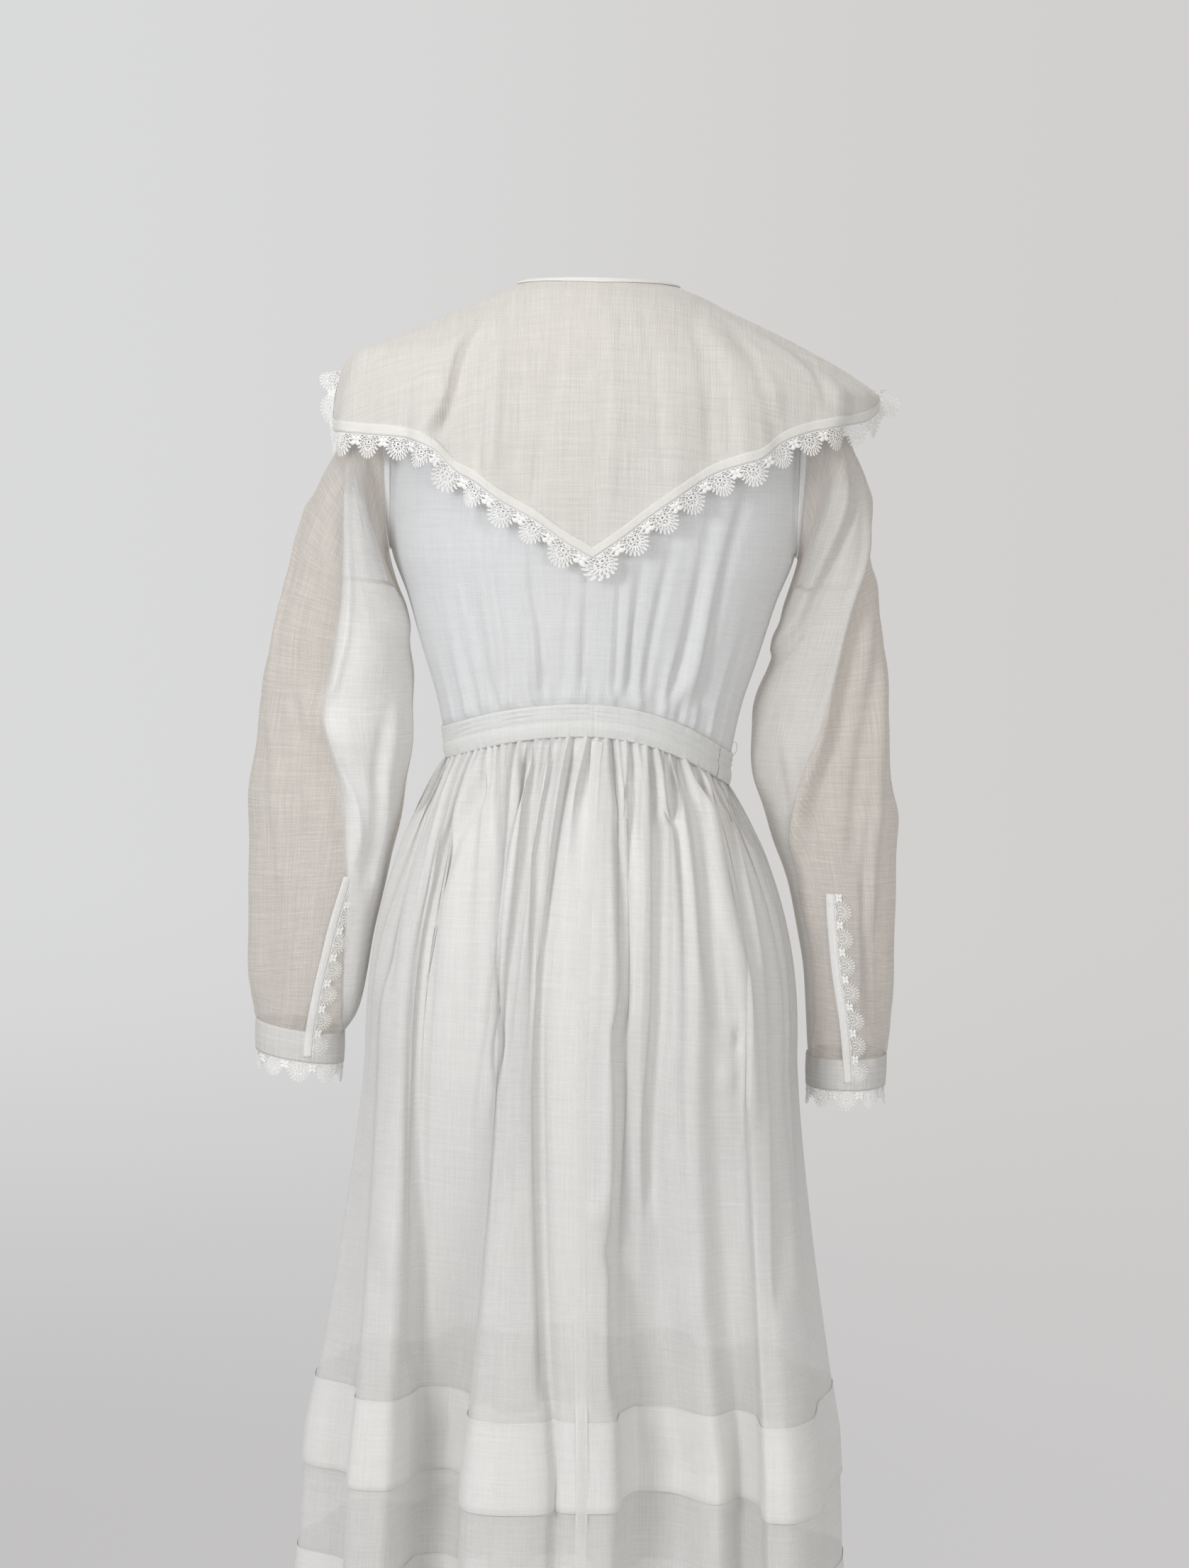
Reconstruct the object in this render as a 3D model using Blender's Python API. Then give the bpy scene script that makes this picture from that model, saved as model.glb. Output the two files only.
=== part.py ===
"""A long-sleeved white cotton dress with a pointed cape collar, worn pose, as thin cloth walls.

Metres, +Z up. The back of the dress faces +Y and the wearer's left is +X.
The origin is the middle of the shoulder line, level with the base of the neck.
"""

import math

import bpy
import numpy as np

# Cloth walls and the gaps between sewn pieces
CLOTH = 0.0012
DOUBLE_CLOTH = 0.0018
SEAM_GAP = 0.0003
LAID_ON = SEAM_GAP + 0.5 * (CLOTH + DOUBLE_CLOTH)

# Bodice: heights are measured from the shoulder line
SHOULDER_TIP_Z = -0.063
UNDERARM_Z = -0.245
ARMHOLE_DEPTH = 0.052
BACK_NECK_DROP = 0.001
FRONT_NECK_DROP = 0.170
FRONT_NECK_CURVE = 5.5
NECK_Z = -0.004
BODICE_BACK_COLUMNS = 30
BODICE_FRONT_COLUMNS = 24
BODICE_LOW_ROWS = 4
ARMHOLE_ROWS = 5
SHOULDER_ROWS = 4
BODICE_GATHER_HEIGHT = 0.0026

# Waistband: it rides higher at the back than at the sides
WAIST_BACK_Z = -0.376
WAIST_LEFT_Z = -0.404
WAIST_RIGHT_Z = -0.423
WAIST_FRONT_Z = -0.425
WAISTBAND_HEIGHT = 0.029
WAISTBAND_HALF_WIDTH = 0.129
WAISTBAND_END_X = -0.115
WAISTBAND_COLUMNS = 48
WAISTBAND_LAP_DEGREES = 0.35

# Skirt levels
HIP_Z = -0.700
FOLD_Z = -1.050
TUCK_TOPS = (-1.005, -1.165)
TUCK_HEIGHT = 0.080
TUCK_REST = 0.0004
HEM_Z = -1.370
HEM_BACK_RISE = 0.006
HEM_FLARE = 0.075
BACK_COLUMNS = 52
FRONT_COLUMNS = 48
GATHER_HEIGHT = 0.0042
GATHER_RISE = 0.030
GATHER_FALL = 0.096

# Collar
COLLAR_HEM_WIDTH = 0.010
COLLAR_COLUMNS = 60
COLLAR_ROWS = 6
COLLAR_SLIT = 1.2
COLLAR_SEAT_OUT = 0.0026
COLLAR_SEAT_UP = 0.0009
COLLAR_LIFT_RUN = 0.035
LACE_DEPTH = 0.021
LACE_REPEATS = 45
COLLAR_LACE_GAP = 4 * SEAM_GAP

# Sleeves, cuffs and plackets
SLEEVE_COLUMNS = 18
SLEEVE_FOLD_HEIGHT = 0.0028
ELBOW_ROW = 9.5
ELBOW_FOLD_HEIGHT = 0.0018
CUFF_GATHER_HEIGHT = 0.0016
CUFF_HEIGHT = 0.0275
CUFF_LACE_COLUMNS = 36
CUFF_LACE_DEPTH = 0.018
CUFF_LACE_REPEATS = 9
PLACKET_WIDTH = 0.007
PLACKET_POINTS = 9
PLACKET_LACE_POINTS = 29
PLACKET_LACE_DEPTH = 0.015
PLACKET_LACE_REPEATS = 7
PLACKET_LACE_GAP = 3 * SEAM_GAP
PLACKET_REST = 0.0007

# One repeat of the lace edge: how deep it reaches, as a share of its full depth
SCALLOP = (
    ("place", "share"),
    (0.0, 0.55),
    (0.22, 1.0),
    (0.52, 0.97),
    (0.78, 0.62),
    (1.0, 0.55),
)

# The torso of a general figure: the bodice lies on these level sections
TORSO = (
    ("height", "half_width", "back_depth", "front_depth"),
    (-0.460, 0.1270, 0.0960, 0.0970),
    (-0.430, 0.1290, 0.0970, 0.0990),
    (-0.380, 0.1380, 0.1000, 0.1070),
    (-0.335, 0.1520, 0.1060, 0.1170),
    (-0.285, 0.1670, 0.1130, 0.1270),
    (-0.245, 0.1820, 0.1185, 0.1310),
    (-0.200, 0.1850, 0.1210, 0.1280),
    (-0.150, 0.1860, 0.1200, 0.1190),
    (-0.100, 0.1870, 0.1140, 0.1070),
    (-0.063, 0.1880, 0.1020, 0.0950),
    (-0.055, 0.1700, 0.0970, 0.0900),
    (-0.043, 0.1430, 0.0880, 0.0810),
    (-0.030, 0.1150, 0.0780, 0.0700),
    (-0.017, 0.0870, 0.0660, 0.0580),
    (-0.004, 0.0640, 0.0540, 0.0450),
)

# The collar's own level sections, clear of the torso and out over the sleeve heads
CAPE = (
    ("height", "left_width", "right_width", "back_depth", "front_depth"),
    (-0.300, 0.2360, 0.2400, 0.1310, 0.1440),
    (-0.250, 0.2370, 0.2400, 0.1310, 0.1430),
    (-0.180, 0.2380, 0.2420, 0.1300, 0.1370),
    (-0.135, 0.2380, 0.2480, 0.1270, 0.1270),
    (-0.103, 0.2340, 0.2540, 0.1220, 0.1180),
    (-0.084, 0.2285, 0.2320, 0.1170, 0.1120),
    (-0.070, 0.2180, 0.2085, 0.1120, 0.1060),
    (-0.063, 0.2000, 0.1945, 0.1080, 0.1020),
    (-0.050, 0.1690, 0.1690, 0.1010, 0.0950),
    (-0.037, 0.1390, 0.1400, 0.0920, 0.0860),
    (-0.025, 0.1120, 0.1130, 0.0820, 0.0750),
    (-0.012, 0.0860, 0.0870, 0.0700, 0.0625),
    (-0.005, 0.0660, 0.0660, 0.0560, 0.0470),
)

# How low the collar's cloth edge hangs, by degrees round from the centre back
COLLAR_EDGE = (
    ("degrees", "left_z", "right_z"),
    (0, -0.249, -0.249),
    (6, -0.2350, -0.2310),
    (12, -0.2180, -0.2110),
    (18, -0.2050, -0.1930),
    (25, -0.1870, -0.1750),
    (31, -0.1760, -0.1660),
    (35, -0.1590, -0.1610),
    (42, -0.1500, -0.1440),
    (55, -0.1460, -0.1310),
    (68, -0.1430, -0.1250),
    (82, -0.1360, -0.1120),
    (89, -0.1080, -0.1030),
    (98, -0.0870, -0.0930),
    (112, -0.0980, -0.1020),
    (130, -0.1380, -0.1400),
    (150, -0.1860, -0.1860),
    (168, -0.2240, -0.2240),
    (180, -0.2400, -0.2400),
)

# Soft folds that run down the collar from the neck to its edge
COLLAR_FOLDS = (
    ("degrees", "half_angle", "rise"),
    (38, 6, 0.0065),
    (30, 4, -0.0035),
    (22, 6, 0.0050),
    (66, 9, 0.0040),
    (-34, 8, 0.0040),
    (-56, 8, 0.0045),
    (-16, 7, 0.0030),
    (118, 12, 0.0050),
    (148, 11, 0.0050),
    (-112, 12, 0.0050),
    (-144, 11, 0.0045),
)

# Each skirt row is one crest or trough: where it stands at the hip and at the upper tuck
SKIRT_BACK = (
    ("hip_x", "hip_y", "low_x", "low_y"),
    (0.198, 0.000, 0.247, 0.000),
    (0.197, 0.018, 0.243, 0.030),
    (0.184, 0.055, 0.201, 0.060),
    (0.177, 0.076, 0.196, 0.100),
    (0.161, 0.096, 0.168, 0.106),
    (0.150, 0.098, 0.149, 0.082),
    (0.139, 0.096, 0.137, 0.052),
    (0.110, 0.116, 0.117, 0.046),
    (0.080, 0.133, 0.098, 0.064),
    (0.071, 0.143, 0.090, 0.160),
    (0.055, 0.150, 0.055, 0.170),
    (0.039, 0.147, 0.022, 0.164),
    (0.034, 0.142, 0.014, 0.153),
    (0.024, 0.150, 0.006, 0.160),
    (0.000, 0.156, -0.009, 0.161),
    (-0.024, 0.155, -0.028, 0.156),
    (-0.034, 0.145, -0.040, 0.122),
    (-0.050, 0.147, -0.060, 0.099),
    (-0.064, 0.141, -0.088, 0.100),
    (-0.094, 0.142, -0.128, 0.129),
    (-0.120, 0.123, -0.150, 0.106),
    (-0.140, 0.112, -0.165, 0.124),
    (-0.153, 0.108, -0.173, 0.168),
    (-0.166, 0.095, -0.191, 0.167),
    (-0.181, 0.070, -0.214, 0.142),
    (-0.191, 0.042, -0.227, 0.075),
    (-0.196, 0.018, -0.243, 0.030),
    (-0.198, 0.000, -0.247, 0.000),
)
CENTRE_BACK_FOLD = 14
SKIRT_FRONT = (
    ("hip_x", "hip_y", "low_x", "low_y"),
    (-0.198, 0.000, -0.247, 0.000),
    (-0.195, -0.022, -0.244, -0.026),
    (-0.182, -0.056, -0.212, -0.052),
    (-0.170, -0.082, -0.203, -0.106),
    (-0.150, -0.100, -0.176, -0.128),
    (-0.133, -0.104, -0.150, -0.098),
    (-0.112, -0.114, -0.124, -0.094),
    (-0.094, -0.132, -0.110, -0.150),
    (-0.068, -0.142, -0.074, -0.168),
    (-0.048, -0.139, -0.054, -0.128),
    (-0.026, -0.144, -0.026, -0.120),
    (-0.008, -0.155, -0.012, -0.166),
    (0.020, -0.157, 0.026, -0.172),
    (0.040, -0.147, 0.044, -0.130),
    (0.062, -0.142, 0.070, -0.122),
    (0.080, -0.142, 0.086, -0.156),
    (0.108, -0.132, 0.122, -0.148),
    (0.130, -0.112, 0.140, -0.102),
    (0.150, -0.100, 0.166, -0.090),
    (0.170, -0.084, 0.186, -0.110),
    (0.184, -0.062, 0.214, -0.084),
    (0.194, -0.034, 0.230, -0.044),
    (0.197, -0.014, 0.244, -0.020),
    (0.198, 0.000, 0.247, 0.000),
)
# How far below the waistband each row of skirt points lies, down to the upper tuck
SKIRT_DROPS = (0.0, 0.016, 0.036, 0.070, 0.118, 0.190, 0.290, 0.430)

# Each sleeve row is one section: its outer and inner points, its half depth and its centre
SLEEVE_LEFT = (
    ("outer_x", "outer_z", "inner_x", "inner_z", "half_depth", "centre_y"),
    (0.1905, -0.0632, 0.1845, -0.2452, 0.052, 0.000),
    (0.2045, -0.0810, 0.1866, -0.2490, 0.055, 0.000),
    (0.2155, -0.1010, 0.1866, -0.2540, 0.057, 0.000),
    (0.2225, -0.1260, 0.1840, -0.2600, 0.058, 0.000),
    (0.2285, -0.1500, 0.1810, -0.2680, 0.058, 0.000),
    (0.2460, -0.1810, 0.1765, -0.2800, 0.057, -0.001),
    (0.2620, -0.2120, 0.1715, -0.2940, 0.056, -0.002),
    (0.2765, -0.2570, 0.1680, -0.3120, 0.055, -0.003),
    (0.2920, -0.3170, 0.1635, -0.3400, 0.054, -0.004),
    (0.3015, -0.3750, 0.1605, -0.3820, 0.053, -0.005),
    (0.3070, -0.4330, 0.1610, -0.4320, 0.051, -0.006),
    (0.3080, -0.4900, 0.1690, -0.4800, 0.050, -0.007),
    (0.3065, -0.5450, 0.1800, -0.5320, 0.048, -0.008),
    (0.3050, -0.6030, 0.1910, -0.5850, 0.045, -0.009),
    (0.3035, -0.6400, 0.1990, -0.6320, 0.042, -0.010),
    (0.3015, -0.6620, 0.2060, -0.6680, 0.039, -0.011),
    (0.3000, -0.6785, 0.2205, -0.6900, 0.036, -0.012),
)
SLEEVE_RIGHT = (
    ("outer_x", "outer_z", "inner_x", "inner_z", "half_depth", "centre_y"),
    (0.1905, -0.0632, 0.1845, -0.2452, 0.052, 0.000),
    (0.2030, -0.0810, 0.1862, -0.2490, 0.055, 0.000),
    (0.2130, -0.1010, 0.1860, -0.2540, 0.057, 0.000),
    (0.2225, -0.1260, 0.1835, -0.2600, 0.058, 0.000),
    (0.2325, -0.1500, 0.1805, -0.2680, 0.058, 0.000),
    (0.2430, -0.1780, 0.1765, -0.2800, 0.057, -0.001),
    (0.2505, -0.2070, 0.1725, -0.2940, 0.055, -0.002),
    (0.2570, -0.2500, 0.1685, -0.3130, 0.053, -0.003),
    (0.2670, -0.3070, 0.1615, -0.3450, 0.051, -0.004),
    (0.2750, -0.3770, 0.1480, -0.3910, 0.050, -0.005),
    (0.2800, -0.4480, 0.1505, -0.4460, 0.050, -0.006),
    (0.2830, -0.4910, 0.1660, -0.4870, 0.050, -0.007),
    (0.2820, -0.5490, 0.1865, -0.5450, 0.048, -0.008),
    (0.2810, -0.6070, 0.1985, -0.6000, 0.046, -0.009),
    (0.2805, -0.6480, 0.2045, -0.6450, 0.044, -0.010),
    (0.2800, -0.6820, 0.2065, -0.6830, 0.042, -0.011),
    (0.2798, -0.6985, 0.2085, -0.7005, 0.041, -0.012),
)

# Where each sleeve's placket runs over the back of the lower sleeve
PLACKET_LEFT = (
    ("height", "x"),
    (-0.7080, 0.2500),
    (-0.6900, 0.2490),
    (-0.6600, 0.2440),
    (-0.6200, 0.2360),
    (-0.5800, 0.2270),
    (-0.5400, 0.2160),
)
PLACKET_RIGHT = (
    ("height", "x"),
    (-0.7200, 0.2430),
    (-0.6900, 0.2400),
    (-0.6600, 0.2360),
    (-0.6200, 0.2290),
    (-0.5800, 0.2240),
    (-0.5450, 0.2210),
)

WHITE_CLOTH = (0.86, 0.86, 0.84, 1.0)
COLLAR_CLOTH = (0.87, 0.85, 0.80, 1.0)
DOUBLED_CLOTH = (0.90, 0.90, 0.88, 1.0)
LACE_THREAD = (0.92, 0.92, 0.90, 1.0)
CLOTH_ROUGHNESS = 0.9


def column(table, name):
    place = table[0].index(name)
    return np.array([row[place] for row in table[1:]], float)


def smooth(known, values, at):
    """A smooth curve through the values, read at other places. The known places grow."""
    known = np.asarray(known, float)
    values = np.asarray(values, float)
    steps = np.diff(values) / np.diff(known)
    slopes = np.concatenate([steps[:1], 0.5 * (steps[1:] + steps[:-1]), steps[-1:]])
    slopes[1:-1][steps[1:] * steps[:-1] <= 0] = 0.0
    at = np.clip(at, known[0], known[-1])
    i = np.clip(np.searchsorted(known, at, side="right") - 1, 0, len(known) - 2)
    gap = known[i + 1] - known[i]
    t = (at - known[i]) / gap
    start = (1 + 2 * t) * (1 - t) ** 2 * values[i] + t * (1 - t) ** 2 * gap * slopes[i]
    end = t * t * (3 - 2 * t) * values[i + 1] - t * t * (1 - t) * gap * slopes[i + 1]
    return start + end


def read(table, name, at):
    """One column of a table at places along its first column."""
    return smooth(column(table, table[0][0]), column(table, name), np.asarray(at, float))


def stacked(x, y, z):
    return np.stack(np.broadcast_arrays(x, y, z), axis=-1)


def bump(distance, half_width):
    """A soft ridge one unit high."""
    near = np.clip(np.abs(distance) / half_width, 0, 1)
    return (1 - near**2) ** 2


def waist_z(degrees):
    """Height of the waistband's top edge, degrees round from the centre back towards the left."""
    angle = np.radians(degrees)
    side = np.where(np.sin(angle) >= 0, WAIST_LEFT_Z, WAIST_RIGHT_Z)
    ends = np.where(np.cos(angle) >= 0, WAIST_BACK_Z, WAIST_FRONT_Z)
    return side + (ends - side) * np.cos(angle) ** 2


def armhole_depth(z):
    middle = 0.5 * (SHOULDER_TIP_Z + UNDERARM_Z)
    half = 0.5 * (SHOULDER_TIP_Z - UNDERARM_Z)
    return ARMHOLE_DEPTH * np.sqrt(np.clip(1 - ((z - middle) / half) ** 2, 0, 1))


def bodice_point(u, z, back):
    """A point of the bodice. u runs from the wearer's right (-1) to the left (1)."""
    edge_y = armhole_depth(z)
    turn = 0.5 * math.pi - 0.45 * edge_y / ARMHOLE_DEPTH
    depth = read(TORSO, "back_depth" if back else "front_depth", z)
    x = read(TORSO, "half_width", z) * np.sin(turn * u) / np.sin(turn)
    rise = (np.cos(turn * u) - np.cos(turn)) / (1 - np.cos(turn))
    y = edge_y + (depth - edge_y) * rise
    return stacked(x, y if back else -y, z)


def bodice(back, columns):
    """The grid of one bodice piece, from the waistband up to the neckline."""
    u = np.linspace(-1, 1, columns + 1)
    degrees = 90 * u if back else 180 - 90 * u
    waist = waist_z(degrees) + 2 * SEAM_GAP
    if back:
        top = NECK_Z - BACK_NECK_DROP * (1 - u**2)
    else:
        top = NECK_Z - FRONT_NECK_DROP * (1 - np.abs(u)) ** FRONT_NECK_CURVE
    low = np.linspace(0, 1, BODICE_LOW_ROWS + 1)[:-1, None]
    heights = [waist + (UNDERARM_Z - waist) * low]
    rows = np.concatenate([
        np.linspace(UNDERARM_Z, SHOULDER_TIP_Z, ARMHOLE_ROWS + 1)[:-1],
        np.linspace(SHOULDER_TIP_Z, NECK_Z, SHOULDER_ROWS + 1),
    ])
    share = (rows[:, None] - NECK_Z) / (UNDERARM_Z - NECK_Z)
    heights.append(top + (UNDERARM_Z - top) * share)
    z = np.concatenate(heights)
    points = bodice_point(np.broadcast_to(u, z.shape), z, back)
    near_waist = np.clip((UNDERARM_Z - z) / (UNDERARM_Z - waist), 0, 1)
    # Gathers fan up from the middle of the waist and die out at the sides
    middle = np.clip(1.25 - 1.25 * u**2, 0, 1)
    wave = (-1.0) ** np.arange(columns + 1)
    outward = 1 if back else -1
    points[..., 1] += outward * BODICE_GATHER_HEIGHT * near_waist**1.6 * middle * wave
    return points


def waist_ring(degrees, drop):
    """Points of the waistband, a given drop below its top edge."""
    angle = np.radians(degrees)
    z = waist_z(degrees) - drop
    side = read(TORSO, "half_width", z)
    depth = np.where(
        np.cos(angle) >= 0, read(TORSO, "back_depth", z), read(TORSO, "front_depth", z)
    )
    return stacked(side * np.sin(angle), depth * np.cos(angle), z)


def waistband():
    """Starts at the end that laps over on the right side of the back."""
    start = math.degrees(math.asin(WAISTBAND_END_X / WAISTBAND_HALF_WIDTH))
    first = start + WAISTBAND_LAP_DEGREES
    last = start + 360 - WAISTBAND_LAP_DEGREES
    degrees = np.linspace(first, last, WAISTBAND_COLUMNS + 1)
    return np.stack([waist_ring(degrees, drop) for drop in (0.0, WAISTBAND_HEIGHT)])


def skirt_shares(table, columns):
    """Spreads the columns over the crests and troughs by the length of cloth between them."""
    x = column(table, "low_x")
    y = column(table, "low_y")
    lengths = np.hypot(np.diff(x), np.diff(y))
    places = np.concatenate([[0], np.cumsum(lengths)]) / lengths.sum()
    stops = np.round(places * columns).astype(int)
    for i in range(1, len(stops)):
        stops[i] = max(stops[i], stops[i - 1] + 1)
    stops[-1] = columns
    for i in range(len(stops) - 2, -1, -1):
        stops[i] = min(stops[i], stops[i + 1] - 1)
    return places, stops


def skirt_outline(table, columns, level):
    places, stops = skirt_shares(table, columns)
    at = np.interp(np.arange(columns + 1), stops, places)
    return [smooth(places, column(table, f"{level}_{axis}"), at) for axis in "xy"]


def skirt_heights(degrees):
    """Heights of every row of skirt points: gathers, tuck edges, then the hem."""
    top = waist_z(degrees) - WAISTBAND_HEIGHT - 2 * SEAM_GAP
    rise = HEM_BACK_RISE * np.clip(np.cos(np.radians(degrees)), 0, 1)
    first = TUCK_TOPS[0] + rise
    full_drop = WAIST_BACK_Z - WAISTBAND_HEIGHT - TUCK_TOPS[0]
    rows = [top - (top - first) * drop / full_drop for drop in SKIRT_DROPS]
    for tuck_top in TUCK_TOPS:
        rows += [tuck_top + rise, tuck_top - TUCK_HEIGHT + rise]
    return np.stack(rows + [HEM_Z + rise])


def skirt(table, columns, start_degrees):
    """The grid of the skirt's back or front: 180 degrees of it, right way round."""
    hip_x, hip_y = skirt_outline(table, columns, "hip")
    low_x, low_y = skirt_outline(table, columns, "low")
    step = np.arange(columns + 1) / columns
    degrees = start_degrees - 180 * step
    z = skirt_heights(degrees)
    waist = waist_ring(degrees, WAISTBAND_HEIGHT)
    top = z[:1]
    upper = 1 - (1 - np.clip((top - z) / (top - HIP_Z), 0, 1)) ** 2.3
    lower = np.clip((HIP_Z - z) / (HIP_Z - FOLD_Z), 0, 1) ** 1.3
    flare = 1 + HEM_FLARE * np.clip((FOLD_Z - z) / (FOLD_Z - HEM_Z), 0, 1)
    x = (waist[:, 0] + (hip_x - waist[:, 0]) * upper + (low_x - hip_x) * lower) * flare
    y = (waist[:, 1] + (hip_y - waist[:, 1]) * upper + (low_y - hip_y) * lower) * flare
    # Gathers: tight under the waistband, spent at the hip
    fall = top - z
    swell = np.clip(0.35 + fall / GATHER_RISE, 0, 1)
    fade = np.exp(-np.clip(fall - 1.5 * GATHER_RISE, 0, None) / GATHER_FALL)
    at_sides = np.clip(1.15 * np.abs(np.cos(np.radians(degrees))) + 0.25, 0, 1)
    height = GATHER_HEIGHT * swell * fade * at_sides * (-1.0) ** np.arange(columns + 1)
    height[:, [0, -1]] = 0
    angle = np.radians(degrees)
    return stacked(x + height * np.sin(angle), y + height * np.cos(angle), z)


def unit(vectors):
    return vectors / np.linalg.norm(vectors, axis=-1, keepdims=True)


def moved_out(grid, distance, around=False):
    """The grid moved away from the wearer, by a distance that holds in creases too."""
    down = np.gradient(grid, axis=0)
    ahead = np.roll(grid, -1, axis=1) - grid
    behind = np.roll(ahead, 1, axis=1)
    if not around:
        ahead[:, -1] = behind[:, -1]
        behind[:, 0] = ahead[:, 0]
    before = unit(np.cross(behind, down))
    after = unit(np.cross(ahead, down))
    middle = unit(before + after)
    spread = np.clip((middle * before).sum(axis=-1, keepdims=True), 0.45, 1)
    away = np.sign((middle[..., :2] * grid[..., :2]).sum())
    return grid + away * distance * middle / spread


def cape_point(degrees, z):
    """A point of the collar's form. Degrees run round from the centre back, the left positive."""
    angle = np.radians(degrees)
    width = np.where(
        np.sin(angle) >= 0, read(CAPE, "left_width", z), read(CAPE, "right_width", z)
    )
    depth = np.where(
        np.cos(angle) >= 0, read(CAPE, "back_depth", z), read(CAPE, "front_depth", z)
    )
    across = np.cos(angle)
    return stacked(width * np.sin(angle), depth * np.sign(across) * np.abs(across) ** 0.92, z)


def collar_top(degrees):
    """Height of the collar's neck edge: level round the back, a V at the front."""
    from_front = 1 - np.clip((180 - np.abs(degrees)) / 90, 0, 1)
    return CAPE[-1][0] - FRONT_NECK_DROP * from_front**FRONT_NECK_CURVE


def collar_low(degrees):
    """Height of the collar's cloth edge."""
    left = read(COLLAR_EDGE, "left_z", np.abs(degrees))
    right = read(COLLAR_EDGE, "right_z", np.abs(degrees))
    return np.where(np.asarray(degrees) >= 0, left, right)


def collar_seat(degrees, z):
    """The bodice just under the collar, where the collar is sewn to the neckline."""
    back = abs(degrees) <= 90
    u = degrees / 90 if back else math.copysign((180 - abs(degrees)) / 90, degrees)
    angle = math.radians(degrees)
    out = COLLAR_SEAT_OUT * np.array([math.sin(angle), math.cos(angle), 0.0])
    return bodice_point(u, z, back) + out + np.array([0.0, 0.0, COLLAR_SEAT_UP])


def run_along(line):
    """Distance travelled at each point of a line."""
    return np.concatenate([[0], np.cumsum(np.linalg.norm(np.diff(line, axis=0), axis=1))])


def collar_ray(degrees, shares):
    """Points down the collar from its neck edge: shares of the way to its lower edge."""
    z = np.linspace(collar_top(degrees), collar_low(degrees), 80)
    line = cape_point(degrees, z)
    lift = np.clip(run_along(line) / COLLAR_LIFT_RUN, 0, 1)
    lift = (lift * lift * (3 - 2 * lift))[:, None]
    line = line * lift + collar_seat(degrees, z) * (1 - lift)
    run = run_along(line)
    at = np.asarray(shares) * run[-1]
    points = np.stack([np.interp(at, run, line[:, k]) for k in range(3)], axis=-1)
    rise = 0.0
    for where, half_angle, height in COLLAR_FOLDS[1:]:
        rise += height * float(bump(degrees - where, half_angle))
    out = np.array([math.sin(math.radians(degrees)), math.cos(math.radians(degrees)), 0.0])
    return points + out * (rise * np.asarray(shares)[:, None] ** 1.5), run[-1]


def collar_degrees(columns):
    """Directions that share the collar's lower edge evenly."""
    fine = np.linspace(-180 + COLLAR_SLIT, 180 - COLLAR_SLIT, 721)
    edge = np.stack([collar_ray(d, [1.0])[0][0] for d in fine])
    run = run_along(edge)
    return np.interp(np.linspace(0, run[-1], columns + 1), run, fine)


def collar_grid(columns, rows):
    grid = []
    for degrees in collar_degrees(columns):
        length = collar_ray(degrees, [1.0])[1]
        hem_share = 1 - COLLAR_HEM_WIDTH / length
        shares = np.append(np.linspace(0, hem_share, rows), 1.0)
        grid.append(collar_ray(degrees, shares)[0])
    return np.stack(grid, axis=1)


def scallop(place):
    """How deep the lace edge reaches at a place in its repeat, as a share of its full depth."""
    return np.interp(place % 1.0, column(SCALLOP, "place"), column(SCALLOP, "share"))


def lace_along(edge, outward, repeats, depth, gap=SEAM_GAP):
    """A flat lace edging along a line of points, with its scallops in the outward direction."""
    run = run_along(edge)
    corners = column(SCALLOP, "place")[:-1]
    places = np.append((np.arange(repeats)[:, None] + corners).ravel(), repeats)
    at = places / repeats * run[-1]
    inner = np.stack([np.interp(at, run, edge[:, k]) for k in range(3)], axis=-1)
    away = np.stack([np.interp(at, run, outward[:, k]) for k in range(3)], axis=-1)
    away = unit(away)
    reach = gap + depth * scallop(places)[:, None]
    return np.stack([inner + gap * away, inner + reach * away])


def sleeve_section(table, side, row, angle):
    """A point of a sleeve. Rows may lie between those of the table; angle 0 is the outer line."""
    known = np.arange(len(table) - 1)
    names = table[0]
    value = {name: smooth(known, column(table, name), row) for name in names}
    across = np.cos(angle)
    x = 0.5 * (value["outer_x"] * (1 + across) + value["inner_x"] * (1 - across))
    z = 0.5 * (value["outer_z"] * (1 + across) + value["inner_z"] * (1 - across))
    y = value["centre_y"] + value["half_depth"] * np.sin(angle)
    return stacked(side * x, y, z)


def sleeve_fold(row, angle, last):
    """Long diagonal folds, deepest on the outer side, and some crumple at the elbow."""
    outer = 0.55 + 0.45 * np.cos(angle)
    body = np.clip(row / 4, 0, 1) * np.clip((last - row) / 2, 0, 1)
    long_folds = np.sin(4 * angle + 0.55 * row) + 0.6 * np.sin(3 * angle - 0.40 * row + 1.0)
    elbow = bump(row - ELBOW_ROW, 2.6) * np.sin(2.4 * row + 2 * angle)
    return body * outer * (SLEEVE_FOLD_HEIGHT * long_folds + ELBOW_FOLD_HEIGHT * elbow)


def sleeve_grid(table, side, columns):
    last = len(table) - 2
    rows = np.arange(last + 1.0)
    angle = np.linspace(0, 2 * math.pi, columns, endpoint=False)
    row, turn = np.meshgrid(rows, angle, indexing="ij")
    points = sleeve_section(table, side, row, turn)
    centre = points.mean(axis=1, keepdims=True)
    near_cuff = np.clip((row - (last - 1.6)) / 1.6, 0, 1) * np.clip((last - row) * 2 + 0.5, 0, 1)
    gathers = CUFF_GATHER_HEIGHT * near_cuff * (-1.0) ** np.arange(columns)
    return points + unit(points - centre) * (sleeve_fold(row, turn, last) + gathers)[..., None]


def cuff_ring(table, side, columns, drop):
    """A ring of the cuff, a given drop below the sleeve's lower edge."""
    last = len(table) - 2
    angle = np.linspace(0, 2 * math.pi, columns, endpoint=False)
    points = sleeve_section(table, side, np.full(columns, float(last)), angle)
    return points - np.array([0.0, 0.0, drop])


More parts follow.
